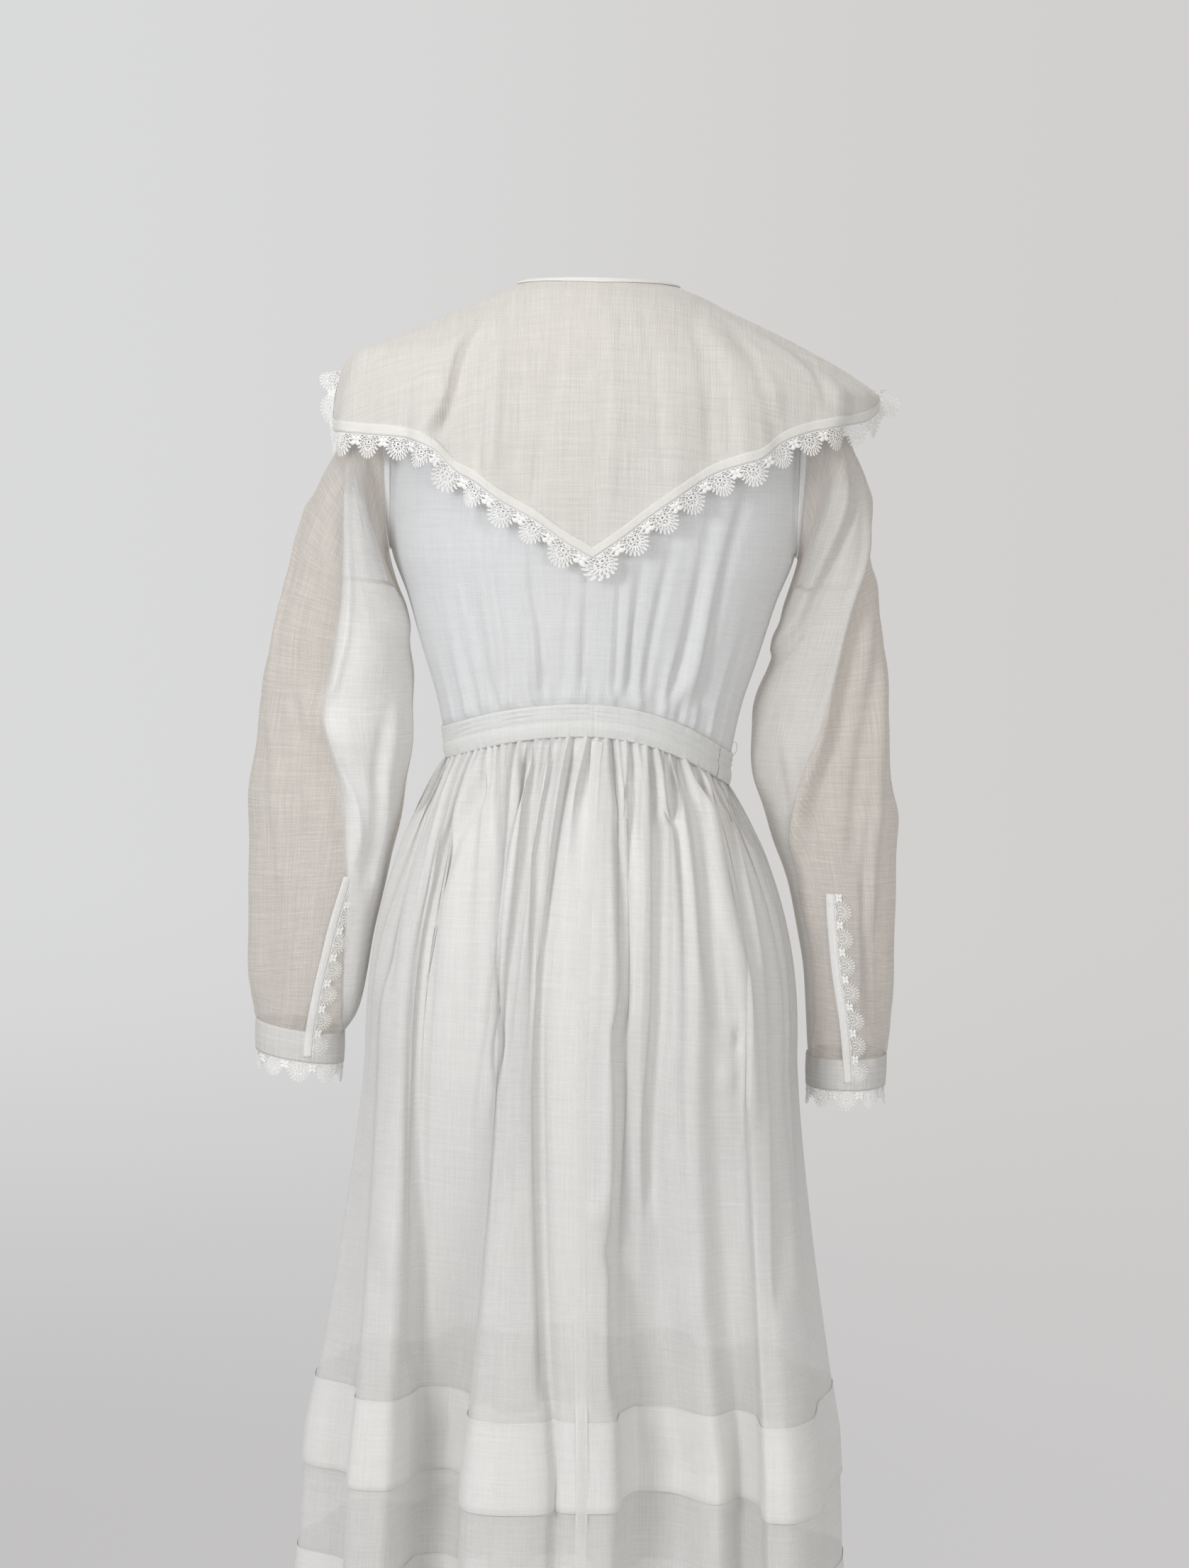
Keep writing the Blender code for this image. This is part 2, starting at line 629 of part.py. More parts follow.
def sleeve_place(x, z, table, side):
    """The row and the angle where the back of a sleeve passes a place, seen from behind."""
    last = len(table) - 2
    known = np.arange(last + 1)
    row = 0.75 * last
    for _ in range(12):
        outer = smooth(known, column(table, "outer_x"), row)
        inner = smooth(known, column(table, "inner_x"), row)
        across = np.clip((2 * x - outer - inner) / (outer - inner), -0.98, 0.98)
        angle = math.acos(across)
        here = sleeve_section(table, side, row, angle)
        above = sleeve_section(table, side, row - 0.5, angle)
        fall = (here[2] - z) / max(1e-6, 2 * (above[2] - here[2]))
        row = float(np.clip(row + fall, 0, last))
    return row, angle


def placket_line(heights, placket_table, side, table, offset):
    """Points laid on the back of a sleeve and its cuff, offset sideways from the placket's line."""
    last = len(table) - 2
    points = []
    for z in heights:
        row, angle = sleeve_place(read(placket_table, "x", z) + offset, z, table, side)
        here = sleeve_section(table, side, row, angle)
        outer = sleeve_section(table, side, row, 0.0)
        inner = sleeve_section(table, side, row, math.pi)
        lift = sleeve_fold(np.array(row), np.array(angle), last) + LAID_ON + PLACKET_REST
        over_cuff = np.array([0.0, 0.0, max(0.0, here[2] - z)])
        points.append(here + unit(here - 0.5 * (outer + inner)) * lift - over_cuff)
    return np.stack(points)


def placket_heights(placket_table, points):
    ends = column(placket_table, "height")
    return np.linspace(ends[0], ends[-1], points)


def placket(placket_table, side, table):
    heights = placket_heights(placket_table, PLACKET_POINTS)
    half = 0.5 * PLACKET_WIDTH
    return np.stack([
        placket_line(heights, placket_table, side, table, half),
        placket_line(heights, placket_table, side, table, -half),
    ])


def placket_lace(placket_table, side, table):
    """The edging beside the placket, towards the body on the left sleeve, outward on the right."""
    heights = placket_heights(placket_table, PLACKET_LACE_POINTS)
    towards = -1 if side > 0 else 1
    half = 0.5 * PLACKET_WIDTH
    near = placket_line(heights, placket_table, side, table, towards * half)
    far = placket_line(heights, placket_table, side, table, towards * (half + COLLAR_HEM_WIDTH))
    return lace_along(near, far - near, PLACKET_LACE_REPEATS, PLACKET_LACE_DEPTH, PLACKET_LACE_GAP)


def cloth_material(name, colour):
    material = bpy.data.materials.new(name)
    material.use_nodes = True
    shader = material.node_tree.nodes["Principled BSDF"]
    shader.inputs["Base Color"].default_value = colour
    shader.inputs["Roughness"].default_value = CLOTH_ROUGHNESS
    shader.inputs["Metallic"].default_value = 0.0
    material.diffuse_color = colour
    return material


def sheet(name, grid, thickness, material, around=False):
    """Makes a cloth wall of a grid of points, rows first. A ring closes round its columns."""
    rows, columns = grid.shape[:2]
    wrap = columns if around else columns - 1
    faces = []
    for i in range(rows - 1):
        for j in range(wrap):
            k = (j + 1) % columns
            above = i * columns
            below = above + columns
            faces.append((above + j, above + k, below + k, below + j))
    mesh = bpy.data.meshes.new(name)
    mesh.from_pydata(grid.reshape(-1, 3).tolist(), [], faces)
    mesh.update()
    mesh.shade_smooth()
    mesh.materials.append(material)
    made = bpy.data.objects.new(name, mesh)
    bpy.context.scene.collection.objects.link(made)
    wall = made.modifiers.new("Cloth", "SOLIDIFY")
    wall.thickness = thickness
    wall.offset = 0.0
    wall.use_even_offset = True
    wall.use_rim = True
    return made


def parted(grid, gap=1.6 * SEAM_GAP):
    """Draws the side edges of a piece in, so that it stands a seam's gap from its neighbour."""
    drawn = grid.copy()
    drawn[:, 0] += gap * unit(grid[:, 1] - grid[:, 0])
    drawn[:, -1] += gap * unit(grid[:, -2] - grid[:, -1])
    return drawn


def build_bodice(cloth, doubled):
    back = bodice(True, BODICE_BACK_COLUMNS)
    front = bodice(False, BODICE_FRONT_COLUMNS)
    sheet("bodice_back", parted(back), CLOTH, cloth)
    sheet("bodice_front", parted(front), CLOTH, cloth)
    sheet("waistband", waistband(), DOUBLE_CLOTH, doubled)


def build_skirt(cloth, doubled):
    back = skirt(SKIRT_BACK, BACK_COLUMNS, 90)
    front = skirt(SKIRT_FRONT, FRONT_COLUMNS, -90)
    middle = skirt_shares(SKIRT_BACK, BACK_COLUMNS)[1][CENTRE_BACK_FOLD]
    sheet("skirt_back_left", parted(back[:, : middle + 1]), CLOTH, cloth)
    sheet("skirt_back_right", parted(back[:, middle:]), CLOTH, cloth)
    sheet("skirt_front", parted(front), CLOTH, cloth)
    whole = np.concatenate([back[:, :-1], front[:, :-1]], axis=1)
    first = len(SKIRT_DROPS)
    for i, name in enumerate(("tuck_upper", "tuck_lower")):
        band = whole[first + 2 * i : first + 2 * i + 2]
        sheet(name, moved_out(band, LAID_ON + TUCK_REST, True), DOUBLE_CLOTH, doubled, True)


def build_collar(cloth, doubled, lace):
    grid = collar_grid(COLLAR_COLUMNS, COLLAR_ROWS)
    sheet("collar", grid, CLOTH, cloth)
    sheet("collar_hem", moved_out(grid[-2:], LAID_ON), DOUBLE_CLOTH, doubled)
    away = grid[-1] - grid[-2]
    edging = lace_along(grid[-1], away, LACE_REPEATS, LACE_DEPTH, COLLAR_LACE_GAP)
    sheet("collar_lace", edging, CLOTH, lace)


def build_sleeve(word, side, table, placket_table, cloth, doubled, lace):
    sheet(f"sleeve_{word}", sleeve_grid(table, side, SLEEVE_COLUMNS), CLOTH, cloth, True)
    drops = (2 * SEAM_GAP, CUFF_HEIGHT)
    cuff = np.stack([cuff_ring(table, side, SLEEVE_COLUMNS, drop) for drop in drops])
    sheet(f"cuff_{word}", cuff, DOUBLE_CLOTH, doubled, True)
    ring = cuff_ring(table, side, CUFF_LACE_COLUMNS, CUFF_HEIGHT + SEAM_GAP)
    closed = np.concatenate([ring, ring[:1]])
    down = np.broadcast_to([0.0, 0.0, -1.0], closed.shape)
    edging = lace_along(closed, down, CUFF_LACE_REPEATS, CUFF_LACE_DEPTH)[:, :-1]
    sheet(f"cuff_lace_{word}", edging, CLOTH, lace, True)
    sheet(f"placket_{word}", placket(placket_table, side, table), DOUBLE_CLOTH, doubled)
    sheet(f"placket_lace_{word}", placket_lace(placket_table, side, table), CLOTH, lace)


def main():
    for old in list(bpy.data.objects):
        bpy.data.objects.remove(old, do_unlink=True)
    cloth = cloth_material("Thin white cotton", WHITE_CLOTH)
    collar_cloth = cloth_material("Collar cotton", COLLAR_CLOTH)
    doubled = cloth_material("Doubled cotton", DOUBLED_CLOTH)
    lace = cloth_material("Lace thread", LACE_THREAD)
    build_bodice(cloth, doubled)
    build_skirt(cloth, doubled)
    build_collar(collar_cloth, doubled, lace)
    build_sleeve("left", 1, SLEEVE_LEFT, PLACKET_LEFT, cloth, doubled, lace)
    build_sleeve("right", -1, SLEEVE_RIGHT, PLACKET_RIGHT, cloth, doubled, lace)


main()
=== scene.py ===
"""The white cotton dress, finished for its picture: cloth, folds, sewing and tatted lace.

Metres, +Z up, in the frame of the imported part. The back of the dress faces +Y.
"""

import math

import bpy
import numpy as np
from mathutils import Matrix


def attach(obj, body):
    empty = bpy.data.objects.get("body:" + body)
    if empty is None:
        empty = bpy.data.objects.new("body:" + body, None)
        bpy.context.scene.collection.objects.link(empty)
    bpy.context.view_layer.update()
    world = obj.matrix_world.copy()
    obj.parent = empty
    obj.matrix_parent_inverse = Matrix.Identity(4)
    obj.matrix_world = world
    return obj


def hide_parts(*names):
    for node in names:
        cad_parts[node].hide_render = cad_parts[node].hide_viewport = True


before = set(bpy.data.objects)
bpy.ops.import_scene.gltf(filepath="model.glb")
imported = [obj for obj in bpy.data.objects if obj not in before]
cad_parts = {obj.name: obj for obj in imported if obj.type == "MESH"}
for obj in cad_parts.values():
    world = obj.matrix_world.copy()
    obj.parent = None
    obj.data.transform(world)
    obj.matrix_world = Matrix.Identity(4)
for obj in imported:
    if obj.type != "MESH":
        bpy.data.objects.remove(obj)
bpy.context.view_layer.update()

# Every random draw comes from here, in a fixed order
RANDOM = np.random.default_rng(1915)

# Layers: how far laid cloth stands off, and how far cloth goes in under the waistband
LAID_ON = 0.0018
HEM_LIFT = 0.0005
SEAM_LIFT = 0.0004
UNDER_BAND = 0.003

# Sewing
STITCH_LENGTH = 0.0018
STITCH_GAP = 0.0012
STITCH_RADIUS = 0.00022
FINE_STITCH_RADIUS = 0.00014

# Bodice: heights are measured from the shoulder line
SHOULDER_TIP_Z = -0.063
UNDERARM_Z = -0.245
NECK_Z = -0.004
ARMHOLE_DEPTH = 0.052
BACK_NECK_DROP = 0.001
FRONT_NECK_DROP = 0.170
FRONT_NECK_CURVE = 5.5
BODICE_BACK_COLUMNS = 30
BODICE_FRONT_COLUMNS = 24
# Rows from the waist to the underarm, on to the shoulder tip and on to the neck
BODICE_ROWS = (13, 8, 5)
BODICE_GATHER_HEIGHT = 0.0030
BODICE_RIPPLE_HEIGHT = 0.0015
BODICE_CREASE_SCALE = 3.3
ARMHOLE_SEAM_WIDTH = 0.005
ARMHOLE_SEAM_CROWN = 0.0006
ARMHOLE_SEAM_COLUMNS = (("right", 2), ("left", -3))

# Waistband
WAIST_BACK_Z = -0.376
WAIST_LEFT_Z = -0.404
WAIST_RIGHT_Z = -0.423
WAIST_FRONT_Z = -0.425
WAISTBAND_HEIGHT = 0.029
WAISTBAND_HALF_WIDTH = 0.129
WAISTBAND_END_X = -0.115
WAISTBAND_LAP_DEGREES = 0.35
WAISTBAND_THICKNESS = 0.0009
# Its rows of stitches, by their share of the way down
WAISTBAND_STITCH_ROWS = (("middle", 0.49), ("low", 0.93), ("top", 0.06))
THREAD_LOOP_PLACE = (-0.1315, 0.004, -0.4190)
THREAD_LOOP_SIZE = (0.0032, 0.0062)
THREAD_LOOP_RADIUS = 0.00035

# Skirt levels
HIP_Z = -0.700
FOLD_Z = -1.050
TUCK_TOPS = (-1.005, -1.165)
TUCK_HEIGHT = 0.080
HEM_Z = -1.370
HEM_BACK_RISE = 0.006
HEM_FLARE = 0.075
BACK_COLUMNS = 52
FRONT_COLUMNS = 48
GATHER_HEIGHT = 0.0060
GATHER_RISE = 0.030
GATHER_FALL = 0.096
SKIRT_RIPPLE_HEIGHT = 0.0022
SKIRT_CREASE_SCALE = 1.6
CENTRE_SEAM_WIDTH = 0.010
CENTRE_SEAM_CROWN = 0.0003
SEAM_OVER_TUCK = 0.0024
# Steps down the skirt: from the waistband to the first tuck, then in each band below it
DROP_STEPS = np.concatenate([np.linspace(0, 0.08, 25)[:-1], np.linspace(0.08, 0.6, 61)])
BAND_STEPS = 12
HEM_STEPS = 18
TUCK_ROWS = [len(DROP_STEPS) - 1 + 2 * i * BAND_STEPS for i in range(len(TUCK_TOPS))]
# How a tuck's edge turns under: steps inward and up from its lowest row
TUCK_TURN = ((0.0003, -0.0005), (0.0012, 0.0), (0.0013, 0.004))

# Collar
COLLAR_HEM_WIDTH = 0.010
COLLAR_HEM_ROWS = 4
COLLAR_SLIT = 1.2
COLLAR_SEAT_OUT = 0.0026
COLLAR_SEAT_UP = 0.0009
COLLAR_LIFT_RUN = 0.035
COLLAR_CREASE_SCALE = 1.7
COLLAR_FLUTTER = 0.0016
COLLAR_MIDDLE = (0.0, 0.0, -0.15)
NECK_BINDING_WIDTH = 0.0065
LACE_DEPTH = 0.021
LACE_REPEATS = 45
LACE_GAP = 0.0002
# Where the collar's lace flares over the shoulders, in degrees from the centre back
LACE_FLARE_LEFT = 97
LACE_FLARE_RIGHT = -96
LACE_FLARE_HALF_ANGLE = 17
LACE_FLARE_OUT = 1.6
LACE_FLARE_UP = 0.5

# Sleeves, cuffs and plackets
SLEEVE_COLUMNS = 18
SLEEVE_FOLD_HEIGHT = 0.0028
SLEEVE_CRUMPLE_HEIGHT = 0.0010
ELBOW_ROW = 9.5
ELBOW_FOLD_HEIGHT = 0.0018
CUFF_GATHER_HEIGHT = 0.0016
CUFF_GATHER_ROWS = 1.6
FOLD_LIFT = 0.0007
FOLD_PUFF = {"left": 0.005, "right": 0.002}
FOLD_PUFF_TOP_Z = -0.19
FOLD_PUFF_LOW_Z = -0.70
FOLD_PUFF_RISE = 0.06
CUFF_HEIGHT = 0.0275
CUFF_THICKNESS = 0.0010
CUFF_FINER = 7
CUFF_ROWS = 13
CUFF_STITCH_ROWS = (("top", 1), ("low", 11))
CUFF_LACE_DEPTH = 0.018
CUFF_LACE_REPEATS = 9
PLACKET_WIDTH = 0.007
PLACKET_THICKNESS = 0.0006
PLACKET_REST = 0.0007
PLACKET_CROWN = 0.0006
PLACKET_SINK = 0.0009
PLACKET_LACE_SINK = 0.0004
PLACKET_LACE_DEPTH = 0.015
PLACKET_LACE_REPEATS = 7
# How thick the threads of the cuffs' and plackets' edging are beside those of the collar's
THIN_LACE = 0.8
# How much further a folded layer takes to reach its full density at its top than at its edge
VEIL_TOP = 0.020

# Cotton: the weave's pitch, the relief of cloth and of thread, and the tints of age
WEAVE_PITCH = 0.0009
CLOTH_RELIEF = 0.00025
THREAD_RELIEF = 0.0002
AGED_CLOTH = (0.97, 0.93, 0.85)
AGED_THREAD = (0.95, 0.92, 0.84)

# One repeat of the lace in millimetres: s runs along the edge, t away from it
REPEAT_WIDTH = 26.0
REPEAT_DEPTH = 20.0
FAN_PLACE = (9.6, 6.0)
# The two outer rows of loops in a fan
FAN_LOOPS = (
    ("reach", "half_angle", "radius_s", "radius_t", "thread", "steps"),
    (8.8, 104, 0.84, 2.0, 0.36, 8),
    (12.5, 100, 0.50, 1.70, 0.37, 6),
)
FAN_LOOP_COUNT = 13
CLOVER_PLACE = (22.3, 5.2)
CLOVER_LEAVES = ((40, 2.9), (-40, 2.9), (135, 2.5), (-135, 2.5))
LACE_LINKS = (((16.0, 5.0), (19.2, 4.4)), ((25.6, 4.6), (29.4, 5.2)), ((19.6, 7.4), (17.4, 9.0)))

# The camera stands behind the dress, a little above its middle
IMAGE_HEIGHT = 2212
FOCAL_PIXELS = 3900.0
SENSOR_HEIGHT = 36.0
CAMERA_PLACE = (-0.00614, 2.51, -0.23399)
# How far below the picture's middle its upright lines would meet
UPRIGHTS_MEET_PIXELS = 44400
CAMERA_PITCH = math.atan(FOCAL_PIXELS / UPRIGHTS_MEET_PIXELS)
CAMERA_ROLL = math.radians(1.30)

# Lamps: name, place, what it is turned to, width, power and colour
LAMPS = (
    ("Key", (1.9, 2.5, 0.35), (0, 0, -0.55), 1.1, 52, (0.98, 0.99, 1.0)),
    ("Fill", (-1.5, 2.8, -0.1), (0, 0, -0.6), 1.6, 30, (1.0, 0.975, 0.945)),
    ("Top", (0.8, 0.6, 1.9), (0, 0, -0.2), 1.2, 15, (1.0, 0.98, 0.95)),
    ("Rear", (-0.6, -2.5, 1.2), (0, 0, -0.6), 1.6, 22, (1.0, 0.98, 0.96)),
)
FLOOR_Z = -1.500
FLOOR_RINGS = (0.0002, 0.3, 0.6, 0.72)
FLOOR_CORNERS = 128

# The torso of a general figure: the bodice lies on these level sections
TORSO = (
    ("height", "half_width", "back_depth", "front_depth"),
    (-0.460, 0.127, 0.096, 0.097),
    (-0.430, 0.129, 0.097, 0.099),
    (-0.380, 0.138, 0.100, 0.107),
    (-0.335, 0.152, 0.106, 0.117),
    (-0.285, 0.167, 0.113, 0.127),
    (-0.245, 0.182, 0.1185, 0.131),
    (-0.200, 0.185, 0.121, 0.128),
    (-0.150, 0.186, 0.120, 0.119),
    (-0.100, 0.187, 0.114, 0.107),
    (-0.063, 0.188, 0.102, 0.095),
    (-0.055, 0.170, 0.097, 0.090),
    (-0.043, 0.143, 0.088, 0.081),
    (-0.030, 0.115, 0.078, 0.070),
    (-0.017, 0.087, 0.066, 0.058),
    (-0.004, 0.064, 0.054, 0.045),
)

# The collar's own level sections
CAPE = (
    ("height", "left_width", "right_width", "back_depth", "front_depth"),
    (-0.300, 0.236, 0.240, 0.131, 0.144),
    (-0.250, 0.237, 0.240, 0.131, 0.143),
    (-0.180, 0.238, 0.242, 0.130, 0.137),
    (-0.135, 0.238, 0.248, 0.127, 0.127),
    (-0.103, 0.234, 0.254, 0.122, 0.118),
    (-0.084, 0.2285, 0.232, 0.117, 0.112),
    (-0.070, 0.218, 0.2085, 0.112, 0.106),
    (-0.063, 0.200, 0.1945, 0.108, 0.102),
    (-0.050, 0.169, 0.169, 0.101, 0.095),
    (-0.037, 0.139, 0.140, 0.092, 0.086),
    (-0.025, 0.112, 0.113, 0.082, 0.075),
    (-0.012, 0.086, 0.087, 0.070, 0.0625),
    (-0.005, 0.066, 0.066, 0.056, 0.047),
)

# How low the collar's cloth edge hangs, by degrees round from the centre back
COLLAR_EDGE = (
    ("degrees", "left_z", "right_z"),
    (0, -0.249, -0.249),
    (6, -0.235, -0.231),
    (12, -0.218, -0.211),
    (18, -0.205, -0.193),
    (25, -0.187, -0.175),
    (31, -0.176, -0.166),
    (35, -0.159, -0.161),
    (42, -0.150, -0.144),
    (55, -0.146, -0.131),
    (68, -0.143, -0.125),
    (82, -0.136, -0.112),
    (89, -0.108, -0.103),
    (98, -0.087, -0.093),
    (112, -0.098, -0.102),
    (130, -0.138, -0.140),
    (150, -0.186, -0.186),
    (168, -0.224, -0.224),
    (180, -0.240, -0.240),
)

# Soft folds that run down the collar from the neck to its edge
COLLAR_FOLDS = (
    ("degrees", "half_angle", "rise"),
    (38, 6, 0.0065),
    (30, 4, -0.0035),
    (22, 6, 0.005),
    (66, 9, 0.004),
    (-34, 8, 0.004),
    (-56, 8, 0.0045),
    (-16, 7, 0.003),
    (118, 12, 0.005),
    (148, 11, 0.005),
    (-112, 12, 0.005),
    (-144, 11, 0.0045),
)

# Each skirt row is one crest or trough: where it stands at the hip and at the upper tuck
SKIRT_BACK = (
    ("hip_x", "hip_y", "low_x", "low_y"),
    (0.198, 0.000, 0.247, 0.000),
    (0.197, 0.018, 0.243, 0.030),
    (0.184, 0.055, 0.201, 0.060),
    (0.177, 0.076, 0.196, 0.100),
    (0.161, 0.096, 0.168, 0.106),
    (0.150, 0.098, 0.149, 0.082),
    (0.139, 0.096, 0.137, 0.052),
    (0.110, 0.116, 0.117, 0.046),
    (0.080, 0.133, 0.098, 0.064),
    (0.071, 0.143, 0.090, 0.160),
    (0.055, 0.150, 0.055, 0.170),
    (0.039, 0.147, 0.022, 0.164),
    (0.034, 0.142, 0.014, 0.153),
    (0.024, 0.150, 0.006, 0.160),
    (0.000, 0.156, -0.009, 0.161),
    (-0.024, 0.155, -0.037, 0.156),
    (-0.034, 0.145, -0.043, 0.124),
    (-0.050, 0.147, -0.060, 0.099),
    (-0.064, 0.141, -0.088, 0.100),
    (-0.094, 0.142, -0.128, 0.129),
    (-0.120, 0.123, -0.150, 0.106),
    (-0.140, 0.112, -0.165, 0.124),
    (-0.153, 0.108, -0.173, 0.168),
    (-0.166, 0.095, -0.191, 0.167),
    (-0.181, 0.070, -0.214, 0.142),
    (-0.191, 0.042, -0.227, 0.075),
    (-0.196, 0.018, -0.243, 0.030),
    (-0.198, 0.000, -0.247, 0.000),
)
CENTRE_BACK_FOLD = 14
SKIRT_FRONT = (
    ("hip_x", "hip_y", "low_x", "low_y"),
    (-0.198, 0.000, -0.247, 0.000),
    (-0.195, -0.022, -0.244, -0.026),
    (-0.182, -0.056, -0.212, -0.052),
    (-0.170, -0.082, -0.203, -0.106),
    (-0.150, -0.100, -0.176, -0.128),
    (-0.133, -0.104, -0.150, -0.098),
    (-0.112, -0.114, -0.124, -0.094),
    (-0.094, -0.132, -0.110, -0.150),
    (-0.068, -0.142, -0.074, -0.168),
    (-0.048, -0.139, -0.054, -0.128),
    (-0.026, -0.144, -0.026, -0.120),
    (-0.008, -0.155, -0.012, -0.166),
    (0.020, -0.157, 0.026, -0.172),
    (0.040, -0.147, 0.044, -0.130),
    (0.062, -0.142, 0.070, -0.122),
    (0.080, -0.142, 0.086, -0.156),
    (0.108, -0.132, 0.122, -0.148),
    (0.130, -0.112, 0.140, -0.102),
    (0.150, -0.100, 0.166, -0.090),
    (0.170, -0.084, 0.186, -0.110),
    (0.184, -0.062, 0.214, -0.084),
    (0.194, -0.034, 0.230, -0.044),
    (0.197, -0.014, 0.244, -0.020),
    (0.198, 0.000, 0.247, 0.000),
)

# Each sleeve row is one section: its outer and inner points, its half depth and its centre
SLEEVE_LEFT = (
    ("outer_x", "outer_z", "inner_x", "inner_z", "half_depth", "centre_y"),
    (0.1905, -0.0632, 0.1845, -0.2452, 0.052, 0.000),
    (0.2045, -0.081, 0.1866, -0.249, 0.055, 0.000),
    (0.2155, -0.101, 0.1866, -0.254, 0.057, 0.000),
    (0.2225, -0.126, 0.184, -0.260, 0.058, 0.000),
    (0.2285, -0.150, 0.181, -0.268, 0.058, 0.000),
    (0.246, -0.181, 0.1765, -0.280, 0.057, -0.001),
    (0.262, -0.212, 0.1715, -0.294, 0.056, -0.002),
    (0.2765, -0.257, 0.168, -0.312, 0.055, -0.003),
    (0.292, -0.317, 0.1635, -0.340, 0.054, -0.004),
    (0.3015, -0.375, 0.1605, -0.382, 0.053, -0.005),
    (0.307, -0.433, 0.161, -0.432, 0.051, -0.006),
    (0.308, -0.490, 0.169, -0.480, 0.050, -0.007),
    (0.3065, -0.545, 0.180, -0.532, 0.048, -0.008),
    (0.305, -0.603, 0.191, -0.585, 0.045, -0.009),
    (0.3035, -0.640, 0.199, -0.632, 0.042, -0.010),
    (0.3015, -0.662, 0.206, -0.668, 0.039, -0.011),
    (0.300, -0.6785, 0.2205, -0.690, 0.036, -0.012),
)
SLEEVE_RIGHT = (
    ("outer_x", "outer_z", "inner_x", "inner_z", "half_depth", "centre_y"),
    (0.1905, -0.0632, 0.1845, -0.2452, 0.052, 0.000),
    (0.203, -0.081, 0.1862, -0.249, 0.055, 0.000),
    (0.213, -0.101, 0.186, -0.254, 0.057, 0.000),
    (0.2225, -0.126, 0.1835, -0.260, 0.058, 0.000),
    (0.2325, -0.150, 0.1805, -0.268, 0.058, 0.000),
    (0.243, -0.178, 0.1765, -0.280, 0.057, -0.001),
    (0.2505, -0.207, 0.1725, -0.294, 0.055, -0.002),
    (0.257, -0.250, 0.1685, -0.313, 0.053, -0.003),
    (0.267, -0.307, 0.1615, -0.345, 0.051, -0.004),
    (0.275, -0.377, 0.148, -0.391, 0.050, -0.005),
    (0.280, -0.448, 0.1505, -0.446, 0.050, -0.006),
    (0.283, -0.491, 0.166, -0.487, 0.050, -0.007),
    (0.282, -0.549, 0.1865, -0.545, 0.048, -0.008),
    (0.281, -0.607, 0.1985, -0.600, 0.046, -0.009),
    (0.2805, -0.648, 0.2045, -0.645, 0.044, -0.010),
    (0.280, -0.682, 0.2065, -0.683, 0.042, -0.011),
    (0.2798, -0.6985, 0.2085, -0.7005, 0.041, -0.012),
)

# Where each sleeve's placket runs over the back of the lower sleeve
PLACKET_LEFT = (
    ("height", "x"),
    (-0.708, 0.250),
    (-0.690, 0.249),
    (-0.660, 0.244),
    (-0.620, 0.236),
    (-0.580, 0.227),
    (-0.540, 0.216),
)
PLACKET_RIGHT = (
    ("height", "x"),
    (-0.720, 0.243),
    (-0.690, 0.240),
    (-0.660, 0.236),
    (-0.620, 0.229),
    (-0.580, 0.224),
    (-0.545, 0.221),
)

# Creases: height of the ridge (below zero a trough), its reach towards -X and towards +X,
# then the x and z of its line from top to bottom
BODICE_CREASES = (
    (-0.0016, 0.006, 0.008, ((0.097, -0.180), (0.090, -0.251), (0.079, -0.320), (0.074, -0.372))),
    (0.0014, 0.010, 0.007, ((0.108, -0.180), (0.100, -0.251), (0.088, -0.320), (0.082, -0.372))),
    (-0.0007, 0.008, 0.008, ((0.130, -0.215), (0.113, -0.272), (0.100, -0.320), (0.094, -0.374))),
    (-0.0016, 0.005, 0.007, ((0.053, -0.215), (0.050, -0.275), (0.043, -0.319), (0.040, -0.371))),
    (0.0014, 0.008, 0.005, ((0.061, -0.215), (0.058, -0.275), (0.050, -0.319), (0.047, -0.371))),
    (-0.0011, 0.004, 0.006, ((0.016, -0.245), (0.018, -0.284), (0.020, -0.318), (0.021, -0.370))),
    (-0.0014, 0.004, 0.005, ((0.003, -0.250), (0.005, -0.318), (0.007, -0.370))),
    (-0.0017, 0.005, 0.004, ((-0.026, -0.240), (-0.024, -0.300), (-0.021, -0.370))),
    (0.0013, 0.005, 0.007, ((-0.033, -0.240), (-0.031, -0.300), (-0.027, -0.370))),
    (-0.0013, 0.006, 0.005, ((-0.046, -0.235), (-0.036, -0.317), (-0.033, -0.370))),
    (-0.0018, 0.008, 0.006, ((-0.075, -0.205), (-0.053, -0.317), (-0.046, -0.371))),
    (-0.002, 0.010, 0.007, ((-0.105, -0.185), (-0.084, -0.316), (-0.070, -0.372))),
    (0.002, 0.009, 0.012, ((-0.120, -0.185), (-0.098, -0.316), (-0.083, -0.374))),
    (-0.002, 0.010, 0.008, ((-0.138, -0.175), (-0.114, -0.261), (-0.098, -0.376))),
)
